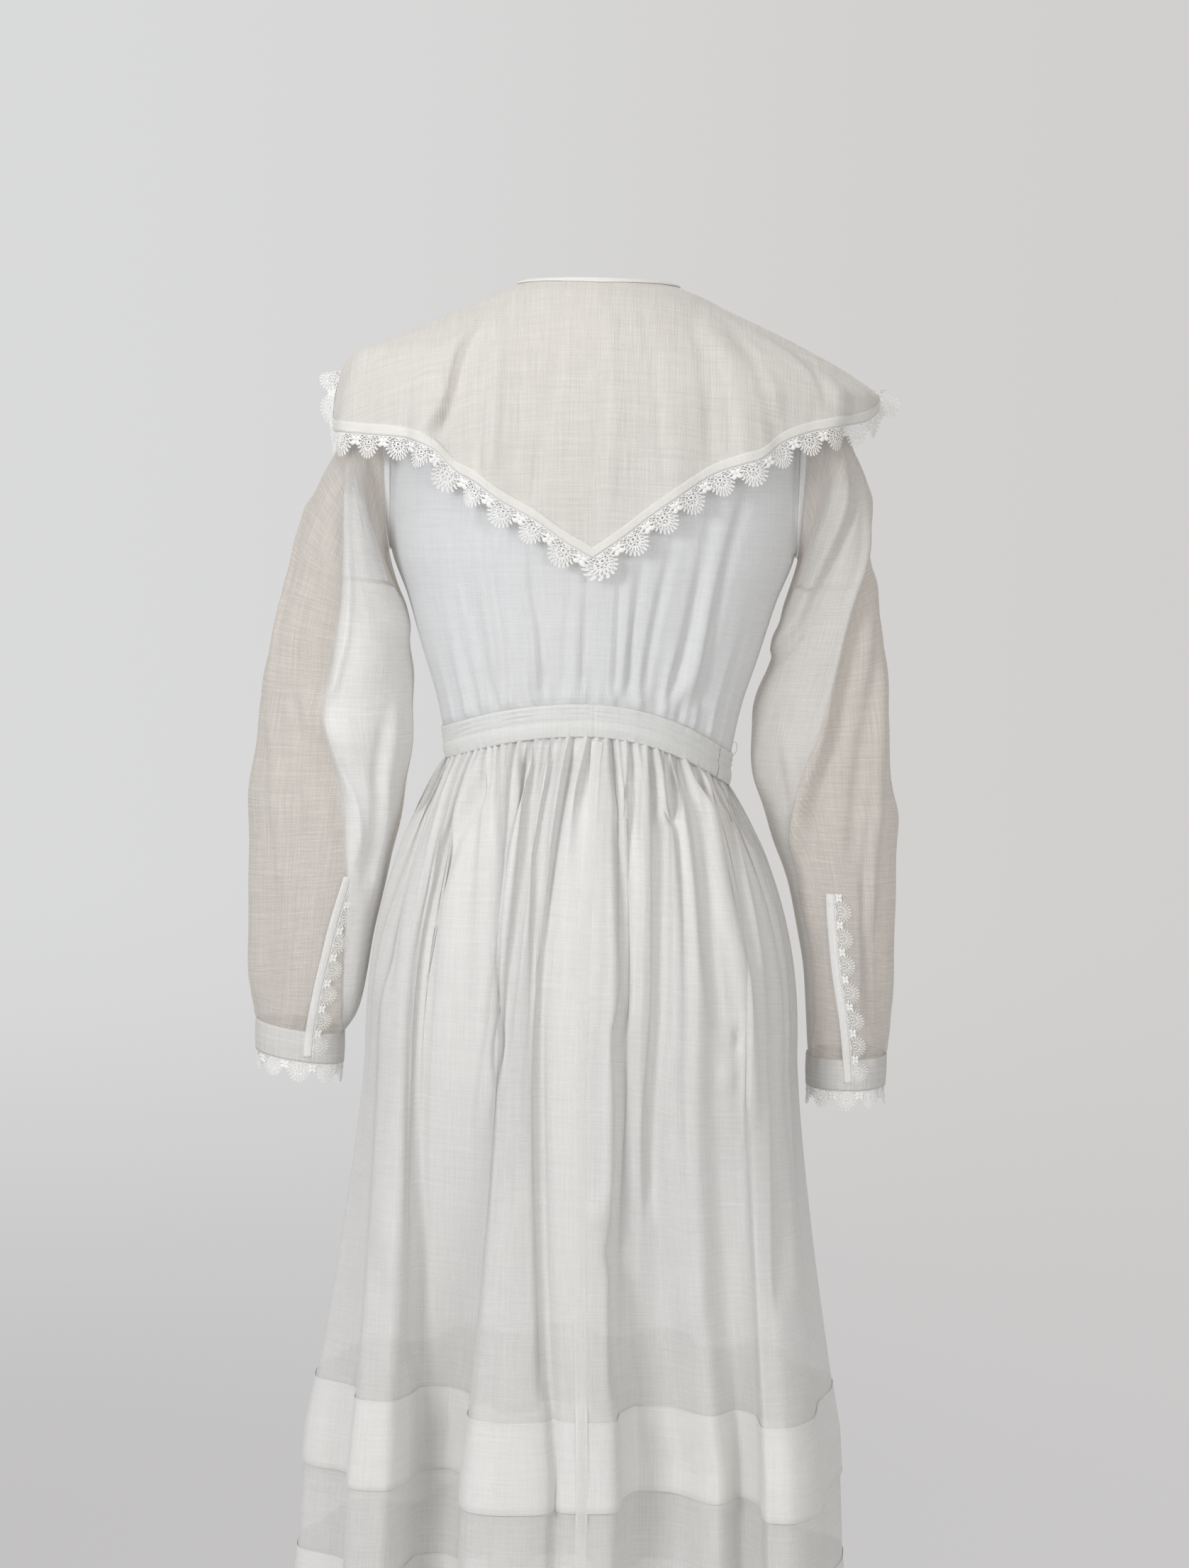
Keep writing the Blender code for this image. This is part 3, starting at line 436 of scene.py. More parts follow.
SKIRT_CREASES = (
    (-0.004, 0.010, 0.014, ((0.130, -0.425), (0.153, -0.497), (0.166, -0.541), (0.176, -0.640))),
    (-0.0044, 0.010, 0.015, ((0.088, -0.440), (0.129, -0.537), (0.138, -0.630), (0.143, -0.729),
                             (0.142, -0.800), (0.141, -0.900), (0.143, -0.985))),
    (-0.0034, 0.009, 0.013, ((0.051, -0.410), (0.053, -0.507), (0.064, -0.625), (0.073, -0.700))),
    (0.003, 0.012, 0.007, ((0.060, -0.420), (0.065, -0.520), (0.077, -0.640), (0.090, -0.760))),
    (-0.003, 0.009, 0.008, ((0.034, -0.409), (0.041, -0.488), (0.040, -0.623), (0.036, -0.760),
                             (0.030, -0.900), (0.026, -0.985))),
    (-0.002, 0.016, 0.016, ((0.003, -0.430), (0.000, -0.520), (-0.001, -0.640))),
    (-0.0018, 0.006, 0.010, ((-0.013, -0.436), (-0.028, -0.517), (-0.034, -0.600))),
    (-0.004, 0.014, 0.008, ((-0.030, -0.430), (-0.035, -0.486), (-0.039, -0.621), (-0.031, -0.660),
                             (-0.037, -0.740), (-0.035, -0.860), (-0.037, -0.980))),
    (0.0022, 0.006, 0.010, ((-0.024, -0.440), (-0.028, -0.560), (-0.026, -0.700), (-0.027, -0.820))),
    (-0.0016, 0.006, 0.006, ((-0.047, -0.425), (-0.040, -0.480), (-0.037, -0.530))),
    (-0.0044, 0.013, 0.009, ((-0.073, -0.420), (-0.074, -0.458), (-0.065, -0.486), (-0.067, -0.622),
                             (-0.062, -0.740), (-0.064, -0.820))),
    (-0.0026, 0.010, 0.010, ((-0.096, -0.427), (-0.103, -0.517), (-0.111, -0.606), (-0.122, -0.660))),
    (-0.003, 0.012, 0.009, ((-0.111, -0.432), (-0.134, -0.531), (-0.156, -0.623), (-0.165, -0.722))),
    (0.003, 0.010, 0.014, ((-0.104, -0.440), (-0.120, -0.531), (-0.142, -0.623), (-0.152, -0.740))),
    (-0.0034, 0.016, 0.008, ((-0.125, -0.441), (-0.145, -0.506), (-0.167, -0.608), (-0.176, -0.760),
                             (-0.180, -0.900))),
)
# x, z, how far it reaches sideways and upward, and its height: dents where the cloth buckles
SKIRT_DENTS = (
    (-0.137, -0.667, 0.007, 0.012, -0.004),
    (-0.128, -0.700, 0.012, 0.020, 0.0024),
    (-0.017, -0.815, 0.012, 0.018, 0.0026),
    (-0.030, -0.850, 0.010, 0.022, -0.003),
    (-0.120, -0.715, 0.016, 0.010, -0.0016),
    (0.060, -0.800, 0.014, 0.040, -0.0016),
    (0.168, -0.860, 0.018, 0.050, 0.0026),
    (-0.100, -0.900, 0.020, 0.050, 0.0024),
)
COLLAR_CREASES = (
    (-0.0026, 0.010, 0.004, ((0.088, -0.024), (0.110, -0.064), (0.127, -0.125), (0.140, -0.150))),
    (0.0022, 0.004, 0.012, ((0.096, -0.026), (0.119, -0.064), (0.136, -0.125), (0.151, -0.147))),
    (-0.0018, 0.004, 0.009, ((0.094, -0.045), (0.097, -0.089), (0.101, -0.184))),
    (0.0016, 0.010, 0.005, ((0.084, -0.040), (0.086, -0.089), (0.090, -0.184))),
    (-0.0012, 0.012, 0.009, ((-0.078, -0.030), (-0.092, -0.080), (-0.101, -0.170))),
    (0.0014, 0.014, 0.012, ((-0.094, -0.032), (-0.118, -0.090), (-0.130, -0.165))),
    (-0.0014, 0.010, 0.012, ((-0.112, -0.036), (-0.140, -0.085), (-0.157, -0.150))),
    (-0.001, 0.009, 0.012, ((0.028, -0.020), (0.036, -0.090), (0.050, -0.200))),
    (0.001, 0.010, 0.012, ((-0.010, -0.030), (-0.016, -0.120), (-0.012, -0.210))),
    (-0.001, 0.012, 0.009, ((-0.036, -0.020), (-0.050, -0.090), (-0.060, -0.190))),
    (-0.0016, 0.012, 0.008, ((-0.150, -0.050), (-0.186, -0.075), (-0.205, -0.118))),
)
# A deep fold's ridge is the sum of a wide and a narrow one along the same line
LEFT_UPPER_RIDGE = ((0.216, -0.159), (0.216, -0.273), (0.228, -0.365), (0.238, -0.388))
LEFT_LOWER_RIDGE = ((0.236, -0.392), (0.228, -0.428), (0.213, -0.473), (0.211, -0.530))
SLEEVE_LEFT_CREASES = (
    (0.006, 0.045, 0.004, LEFT_UPPER_RIDGE),
    (0.004, 0.006, 0.004, LEFT_UPPER_RIDGE),
    (-0.004, 0.004, 0.016, tuple((x + 0.007, z) for x, z in LEFT_UPPER_RIDGE)),
    (0.006, 0.036, 0.004, LEFT_LOWER_RIDGE),
    (0.0036, 0.006, 0.004, LEFT_LOWER_RIDGE),
    (-0.004, 0.004, 0.016, ((0.242, -0.396), (0.235, -0.428), (0.220, -0.473), (0.218, -0.530))),
    (0.0065, 0.003, 0.026, ((0.202, -0.160), (0.199, -0.204), (0.189, -0.246), (0.173, -0.290),
                            (0.161, -0.335))),
    (-0.006, 0.014, 0.003, ((0.197, -0.160), (0.193, -0.204), (0.183, -0.246), (0.167, -0.290),
                             (0.155, -0.335))),
    (0.003, 0.005, 0.004, ((0.256, -0.150), (0.270, -0.240), (0.285, -0.350), (0.290, -0.390))),
    (-0.003, 0.010, 0.010, ((0.244, -0.240), (0.250, -0.330), (0.256, -0.380))),
    (0.0034, 0.007, 0.005, ((0.262, -0.366), (0.252, -0.392), (0.247, -0.420))),
    (-0.0034, 0.006, 0.006, ((0.270, -0.372), (0.262, -0.400), (0.258, -0.430))),
    (0.003, 0.008, 0.010, ((0.284, -0.392), (0.280, -0.470), (0.274, -0.560))),
    (-0.003, 0.009, 0.010, ((0.262, -0.450), (0.256, -0.560), (0.262, -0.650))),
    (-0.003, 0.007, 0.009, ((0.186, -0.390), (0.194, -0.460), (0.203, -0.560))),
    (0.003, 0.008, 0.006, ((0.176, -0.380), (0.184, -0.460), (0.194, -0.560))),
)
RIGHT_RIDGE = ((-0.226, -0.143), (-0.241, -0.205), (-0.240, -0.243), (-0.227, -0.292),
               (-0.216, -0.360), (-0.210, -0.402), (-0.195, -0.465), (-0.191, -0.520))
SLEEVE_RIGHT_CREASES = (
    (0.0066, 0.006, 0.010, ((-0.216, -0.143), (-0.221, -0.191), (-0.210, -0.232), (-0.192, -0.276),
                            (-0.181, -0.304), (-0.152, -0.346))),
    (-0.005, 0.006, 0.005, ((-0.223, -0.150), (-0.229, -0.191), (-0.218, -0.236), (-0.200, -0.280),
                             (-0.188, -0.310), (-0.160, -0.350))),
    (0.005, 0.004, 0.030, RIGHT_RIDGE),
    (0.005, 0.004, 0.007, RIGHT_RIDGE),
    (-0.0054, 0.016, 0.004, ((-0.234, -0.150), (-0.250, -0.205), (-0.249, -0.243), (-0.236, -0.292),
                             (-0.225, -0.360), (-0.219, -0.402), (-0.204, -0.465), (-0.200, -0.520))),
    (-0.0044, 0.006, 0.012, ((-0.206, -0.146), (-0.208, -0.190), (-0.196, -0.235), (-0.178, -0.280))),
    (-0.003, 0.010, 0.010, ((-0.262, -0.260), (-0.256, -0.340), (-0.244, -0.430), (-0.238, -0.520))),
    (0.0032, 0.008, 0.008, ((-0.250, -0.215), (-0.256, -0.270), (-0.262, -0.380), (-0.258, -0.590))),
    (-0.003, 0.009, 0.008, ((-0.252, -0.520), (-0.256, -0.600), (-0.260, -0.670))),
    (0.003, 0.008, 0.008, ((-0.176, -0.400), (-0.190, -0.470), (-0.206, -0.590))),
)
# How far out from the middle a sleeve's deep fold has to stay to clear the armhole's edge
ARMHOLE_CLEAR = (
    ("height", "x"),
    (-0.285, 0.150),
    (-0.270, 0.185),
    (-0.250, 0.189),
    (-0.230, 0.1935),
    (-0.210, 0.1995),
    (-0.190, 0.2045),
    (-0.165, 0.210),
)
# Where the deep fold of each sleeve turns under: x without its sign, by height
SLEEVE_LEFT_FOLD = (
    ("height", "x"),
    (-0.700, 0.221),
    (-0.640, 0.221),
    (-0.580, 0.220),
    (-0.530, 0.220),
    (-0.473, 0.223),
    (-0.428, 0.235),
    (-0.392, 0.243),
    (-0.365, 0.239),
    (-0.325, 0.232),
    (-0.273, 0.225),
    (-0.208, 0.223),
    (-0.170, 0.222),
)
SLEEVE_RIGHT_FOLD = (
    ("height", "x"),
    (-0.700, 0.212),
    (-0.640, 0.211),
    (-0.580, 0.203),
    (-0.520, 0.190),
    (-0.465, 0.190),
    (-0.402, 0.207),
    (-0.360, 0.216),
    (-0.310, 0.228),
    (-0.243, 0.240),
    (-0.205, 0.243),
    (-0.165, 0.238),
)


def column(table, name):
    place = table[0].index(name)
    return np.array([row[place] for row in table[1:]], float)


def smooth(known, values, at):
    """A smooth curve through the values, read at other places. The known places grow."""
    known = np.asarray(known, float)
    values = np.asarray(values, float)
    steps = np.diff(values) / np.diff(known)
    slopes = np.concatenate([steps[:1], 0.5 * (steps[1:] + steps[:-1]), steps[-1:]])
    slopes[1:-1][steps[1:] * steps[:-1] <= 0] = 0.0
    at = np.clip(at, known[0], known[-1])
    i = np.clip(np.searchsorted(known, at, side="right") - 1, 0, len(known) - 2)
    gap = known[i + 1] - known[i]
    t = (at - known[i]) / gap
    start = (1 + 2 * t) * (1 - t) ** 2 * values[i] + t * (1 - t) ** 2 * gap * slopes[i]
    end = t * t * (3 - 2 * t) * values[i + 1] - t * t * (1 - t) * gap * slopes[i + 1]
    return start + end


def read(table, name, at):
    """One column of a table at places along its first column."""
    return smooth(column(table, table[0][0]), column(table, name), np.asarray(at, float))


def depth_of(table, angle, z):
    """Depth of a level section, towards its back or its front."""
    back, front = read(table, "back_depth", z), read(table, "front_depth", z)
    return np.where(np.cos(angle) >= 0, back, front)


def stacked(x, y, z):
    return np.stack(np.broadcast_arrays(x, y, z), axis=-1)


def outward(degrees):
    """The level direction away from the middle, by degrees round from the centre back."""
    angle = np.radians(degrees)
    return stacked(np.sin(angle), np.cos(angle), 0.0)


def bump(distance, half_width):
    """A soft ridge one unit high."""
    near = np.clip(np.abs(distance) / half_width, 0, 1)
    return (1 - near**2) ** 2


def ease(value):
    value = np.clip(value, 0, 1)
    return value * value * (3 - 2 * value)


def unit(vectors):
    return vectors / np.maximum(np.linalg.norm(vectors, axis=-1, keepdims=True), 1e-12)


def run_along(line):
    """Distance travelled at each point of a line."""
    return np.concatenate([[0], np.cumsum(np.linalg.norm(np.diff(line, axis=0), axis=1))])


def on_line(at, run, line):
    """Points of a line at distances along it."""
    return np.stack([np.interp(at, run, line[:, axis]) for axis in range(3)], axis=-1)


def closed(line):
    """A ring of points with its first one again at its end."""
    return np.concatenate([line, line[:1]])


def wander(at, length, strength=1.0):
    """A smooth random line, about as long as a step of the given length between its turns."""
    low, high = float(np.min(at)), float(np.max(at))
    count = int((high - low) / length) + 4
    values = RANDOM.uniform(-1, 1, count) * strength
    return smooth(low - length + length * np.arange(count), values, at)


def creases(x, z, table, run_out=0.03):
    """Height of the listed creases at places on the cloth."""
    total = np.zeros(np.broadcast(x, z).shape)
    for height, towards_minus, towards_plus, points in table:
        line_x, line_z = np.array(points[::-1]).T
        ahead = x - smooth(line_z, line_x, z)
        reach = np.where(ahead < 0, towards_minus, towards_plus)
        ends = ease((line_z[-1] + 0.3 * run_out - z) / run_out)
        ends = ends * ease((z - line_z[0] + 0.3 * run_out) / run_out)
        total += height * bump(ahead, reach) * ends
    return total


def dents(x, z, table):
    total = np.zeros(np.broadcast(x, z).shape)
    for where_x, where_z, reach_x, reach_z, height in table:
        far = np.hypot((x - where_x) / reach_x, (z - where_z) / reach_z)
        total += height * bump(far, 1.0)
    return total


def normals(grid, around=False, centre=None):
    """Directions away from the wearer at every point of a grid."""
    down = np.gradient(grid, axis=0)
    if around:
        across = np.roll(grid, -1, axis=1) - np.roll(grid, 1, axis=1)
    else:
        across = np.gradient(grid, axis=1)
    found = unit(np.cross(across, down))
    away = grid - centre if centre is not None else grid * np.array([1.0, 1.0, 0.0])
    return found * (1 if (found * away).sum() > 0 else -1)


# The forms of the bodice, the waistband and the skirt


def waist_z(degrees):
    """Height of the waistband's top edge, degrees round from the centre back to the left."""
    angle = np.radians(degrees)
    side = np.where(np.sin(angle) >= 0, WAIST_LEFT_Z, WAIST_RIGHT_Z)
    ends = np.where(np.cos(angle) >= 0, WAIST_BACK_Z, WAIST_FRONT_Z)
    return side + (ends - side) * np.cos(angle) ** 2


def armhole_depth(z):
    middle = 0.5 * (SHOULDER_TIP_Z + UNDERARM_Z)
    half = 0.5 * (SHOULDER_TIP_Z - UNDERARM_Z)
    return ARMHOLE_DEPTH * np.sqrt(np.clip(1 - ((z - middle) / half) ** 2, 0, 1))


def bodice_point(u, z, back):
    """A point of the bodice. u runs from the wearer's right (-1) to the left (1)."""
    soft = 0.55 * ARMHOLE_DEPTH * ease((z - UNDERARM_Z + 0.06) / 0.12)
    soft = soft * ease((SHOULDER_TIP_Z - z) / 0.06)
    near_edge = ease((np.abs(u) - 0.8) / 0.2) ** 1.5
    edge_y = soft + (armhole_depth(z) - soft) * near_edge
    turn = 0.5 * math.pi - 0.45 * edge_y / ARMHOLE_DEPTH
    depth = read(TORSO, "back_depth" if back else "front_depth", z)
    x = read(TORSO, "half_width", z) * np.sin(turn * u) / np.sin(turn)
    rise = (np.cos(turn * u) - np.cos(turn)) / (1 - np.cos(turn))
    y = edge_y + (depth - edge_y) * rise
    return stacked(x, y if back else -y, z)


def bodice(back, columns, finer):
    """The grid of one bodice piece, from the waistband up to the neckline."""
    u = np.linspace(-1, 1, columns * finer + 1)
    waist = waist_z(90 * u if back else 180 - 90 * u) - UNDER_BAND
    if back:
        top = NECK_Z - BACK_NECK_DROP * (1 - u**2)
    else:
        top = NECK_Z - FRONT_NECK_DROP * (1 - np.abs(u)) ** FRONT_NECK_CURVE
    to_underarm, to_tip, to_neck = (count * finer + 1 for count in BODICE_ROWS)
    low = np.linspace(0, 1, to_underarm)[:-1, None] ** 1.15
    rows = np.concatenate([
        np.linspace(UNDERARM_Z, SHOULDER_TIP_Z, to_tip)[:-1],
        np.linspace(SHOULDER_TIP_Z, NECK_Z, to_neck),
    ])
    share = (rows[:, None] - NECK_Z) / (UNDERARM_Z - NECK_Z)
    z = np.concatenate([waist + (UNDERARM_Z - waist) * low, top + (UNDERARM_Z - top) * share])
    points = bodice_point(np.broadcast_to(u, z.shape), z, back)
    near_waist = np.clip((UNDERARM_Z - z) / (UNDERARM_Z - waist), 0, 1)
    at = 0.5 * columns * (u + 1)
    # Gathers fan up from the middle of the waist, some short and some long
    middle = np.clip(1.3 - 1.8 * u**2, 0, 1)
    spread = at + wander(at, 3.0, 0.35)
    strength = 0.75 + wander(at, 1.6, 0.45)
    reach = 2.2 + wander(at, 1.3, 1.2)
    gathers = BODICE_GATHER_HEIGHT * strength * near_waist**reach * np.cos(np.pi * spread)
    ripple = BODICE_RIPPLE_HEIGHT * near_waist**6 * np.cos(2.3 * np.pi * spread + 1.0)
    across = points[..., 0] if back else -points[..., 0] * 0.97
    marks = BODICE_CREASE_SCALE * creases(across, z, BODICE_CREASES)
    height = (gathers + ripple) * middle + marks * (0.3 + 0.7 * near_waist**0.8)
    # The cloth goes in under the waistband
    above_band = ease((z - waist - 0.001) / 0.010)
    height = height * (0.35 + 0.65 * above_band) - 0.0016 * (1 - above_band)
    # The neck and shoulder stay where the collar is sewn on
    free = ease((SHOULDER_TIP_Z - 0.02 - z) / 0.05)
    edge = ease((1 - np.abs(u)) / 0.05)
    return points + normals(points) * (height * free * edge)[..., None]


def waist_ring(degrees, drop):
    """Points of the waistband, a given drop below its top edge."""
    angle = np.radians(degrees)
    z = waist_z(degrees) - drop
    side = read(TORSO, "half_width", z)
    return stacked(side * np.sin(angle), depth_of(TORSO, angle, z) * np.cos(angle), z)


def skirt_shares(table, columns):
    """Spreads the columns over the crests and troughs by the length of cloth between them."""
    lengths = np.hypot(np.diff(column(table, "low_x")), np.diff(column(table, "low_y")))
    places = np.concatenate([[0], np.cumsum(lengths)]) / lengths.sum()
    stops = np.round(places * columns).astype(int)
    for i in range(1, len(stops)):
        stops[i] = max(stops[i], stops[i - 1] + 1)
    stops[-1] = columns
    for i in range(len(stops) - 2, -1, -1):
        stops[i] = min(stops[i], stops[i + 1] - 1)
    return places, stops


def skirt_outline(table, columns, level, at):
    places, stops = skirt_shares(table, columns)
    places_at = np.interp(at, stops, places)
    return [smooth(places, column(table, f"{level}_{axis}"), places_at) for axis in "xy"]


def skirt_heights(degrees):
    """Heights of every row of skirt points: gathers, tuck edges, then the hem."""
    top = waist_z(degrees) - WAISTBAND_HEIGHT + UNDER_BAND
    rise = HEM_BACK_RISE * np.clip(np.cos(np.radians(degrees)), 0, 1)
    first = TUCK_TOPS[0] + rise
    rows = [top - (top - first) * drop / DROP_STEPS[-1] for drop in DROP_STEPS]
    levels = [z for tuck_top in TUCK_TOPS for z in (tuck_top, tuck_top - TUCK_HEIGHT)]
    bands = [(high, low, BAND_STEPS) for high, low in zip(levels, levels[1:])]
    for high, low, steps in (*bands, (levels[-1], HEM_Z, HEM_STEPS)):
        rows += [z + rise for z in np.linspace(high, low, steps + 1)[1:]]
    return np.stack(rows)


def skirt(table, columns, start_degrees, finer, crease_table, dent_table):
    """The grid of the skirt's back or front: 180 degrees of it, right way round."""
    at = np.linspace(0, columns, columns * finer + 1)
    hip_x, hip_y = skirt_outline(table, columns, "hip", at)
    low_x, low_y = skirt_outline(table, columns, "low", at)
    degrees = start_degrees - 180 * at / columns
    z = skirt_heights(degrees)
    waist = waist_ring(degrees, WAISTBAND_HEIGHT)
    fall = z[:1] - z
    upper = 1 - (1 - np.clip(fall / (z[:1] - HIP_Z), 0, 1)) ** 2.3
    lower = np.clip((HIP_Z - z) / (HIP_Z - FOLD_Z), 0, 1) ** 1.3
    flare = 1 + HEM_FLARE * np.clip((FOLD_Z - z) / (FOLD_Z - HEM_Z), 0, 1)
    x = (waist[:, 0] + (hip_x - waist[:, 0]) * upper + (low_x - hip_x) * lower) * flare
    y = (waist[:, 1] + (hip_y - waist[:, 1]) * upper + (low_y - hip_y) * lower) * flare
    # Gathers: tight under the waistband, some spent soon, others long
    swell = np.clip(0.20 + fall / GATHER_RISE, 0, 1)
    length = GATHER_FALL * (1.15 + wander(at, 1.4, 0.75))
    fade = np.exp(-np.clip(fall - 1.5 * GATHER_RISE, 0, None) / length)
    at_sides = np.clip(1.15 * np.abs(np.cos(np.radians(degrees))) + 0.25, 0, 1)
    spread = at + wander(at, 2.6, 0.38)
    strength = 0.85 + wander(at, 1.7, 0.45)
    wave = np.cos(np.pi * spread)
    wave = np.sign(wave) * np.abs(wave) ** 0.8
    height = GATHER_HEIGHT * strength * swell * fade * at_sides * wave
    ripple = SKIRT_RIPPLE_HEIGHT * np.exp(-fall / 0.055) * np.cos(1.9 * np.pi * spread + 0.7)
    ends = ease(at / 1.2) * ease((columns - at) / 1.2)
    height = (height + ripple) * ends - 0.0012 * np.exp(-fall / 0.005)
    grid = stacked(x, y, z) + outward(degrees) * height[..., None]
    relief = creases(grid[..., 0], z, crease_table, 0.05) + dents(grid[..., 0], z, dent_table)
    # Between the creases the cloth is a little slack
    slack = wander(at, 2.2) * np.sin(9 * z + wander(at, 5.0, 2.0)) * 0.0011
    slack = slack * ease(fall / 0.2) * ease((z + 0.98) / 0.1)
    relief = SKIRT_CREASE_SCALE * relief + slack
    return grid + normals(grid) * (relief * ends)[..., None]


# The form of the collar


def cape_point(degrees, z):
    """A point of the collar's form. Degrees run round from the centre back to the left."""
    angle = np.radians(degrees)
    left, right = read(CAPE, "left_width", z), read(CAPE, "right_width", z)
    width = np.where(np.sin(angle) >= 0, left, right)
    across = np.cos(angle)
    rounded = np.sign(across) * np.abs(across) ** 0.92
    return stacked(width * np.sin(angle), depth_of(CAPE, angle, z) * rounded, z)


def collar_top(degrees):
    """Height of the collar's neck edge: level round the back, a V at the front."""
    from_front = 1 - np.clip((180 - np.abs(degrees)) / 90, 0, 1)
    return CAPE[-1][0] - FRONT_NECK_DROP * from_front**FRONT_NECK_CURVE


def collar_low(degrees):
    """Height of the collar's cloth edge."""
    left = read(COLLAR_EDGE, "left_z", np.abs(degrees))
    right = read(COLLAR_EDGE, "right_z", np.abs(degrees))
    return np.where(np.asarray(degrees) >= 0, left, right)


def collar_seat(degrees, z):
    """The bodice just under the collar, where the collar is sewn to the neckline."""
    back = abs(degrees) <= 90
    u = degrees / 90 if back else math.copysign((180 - abs(degrees)) / 90, degrees)
    lift = COLLAR_SEAT_OUT * outward(degrees) + np.array([0.0, 0.0, COLLAR_SEAT_UP])
    return bodice_point(u, z, back) + lift


def collar_ray(degrees, shares):
    """Points down the collar from its neck edge: shares of the way to its lower edge."""
    z = np.linspace(collar_top(degrees), collar_low(degrees), 80)
    line = cape_point(degrees, z)
    lift = ease(run_along(line) / COLLAR_LIFT_RUN)[:, None]
    line = line * lift + collar_seat(degrees, z) * (1 - lift)
    run = run_along(line)
    shares = np.asarray(shares)
    rise = 0.0
    for where, half_angle, height in COLLAR_FOLDS[1:]:
        rise += height * float(bump(degrees - where, half_angle))
    points = on_line(shares * run[-1], run, line)
    return points + outward(degrees) * (rise * shares[:, None] ** 1.5), run[-1]


def collar_degrees(columns):
    """Directions that share the collar's lower edge evenly."""
    fine = np.linspace(-180 + COLLAR_SLIT, 180 - COLLAR_SLIT, 721)
    edge = np.stack([collar_ray(d, [1.0])[0][0] for d in fine])
    run = run_along(edge)
    return np.interp(np.linspace(0, run[-1], columns + 1), run, fine)


def collar_grid(directions, rows):
    """The collar from its neck edge to its hem, a column for each direction."""
    grid = []
    for degrees in directions:
        length = collar_ray(degrees, [1.0])[1]
        hem_share = 1 - COLLAR_HEM_WIDTH / length
        hem_shares = np.linspace(hem_share, 1, COLLAR_HEM_ROWS + 1)[1:]
        shares = np.concatenate([np.linspace(0, hem_share, rows), hem_shares])
        grid.append(collar_ray(degrees, shares)[0])
    grid = np.stack(grid, axis=1)
    down = np.linspace(0, 1, grid.shape[0])[:, None]
    back = ease(grid[..., 1] / 0.02)
    height = COLLAR_CREASE_SCALE * creases(grid[..., 0], grid[..., 2], COLLAR_CREASES) * back
    flutter = wander(np.linspace(0, 1, len(directions)), 0.018) * COLLAR_FLUTTER
    height = height + flutter * down**3
    return grid + normals(grid) * (height * down**0.7)[..., None]


# The form of the sleeves


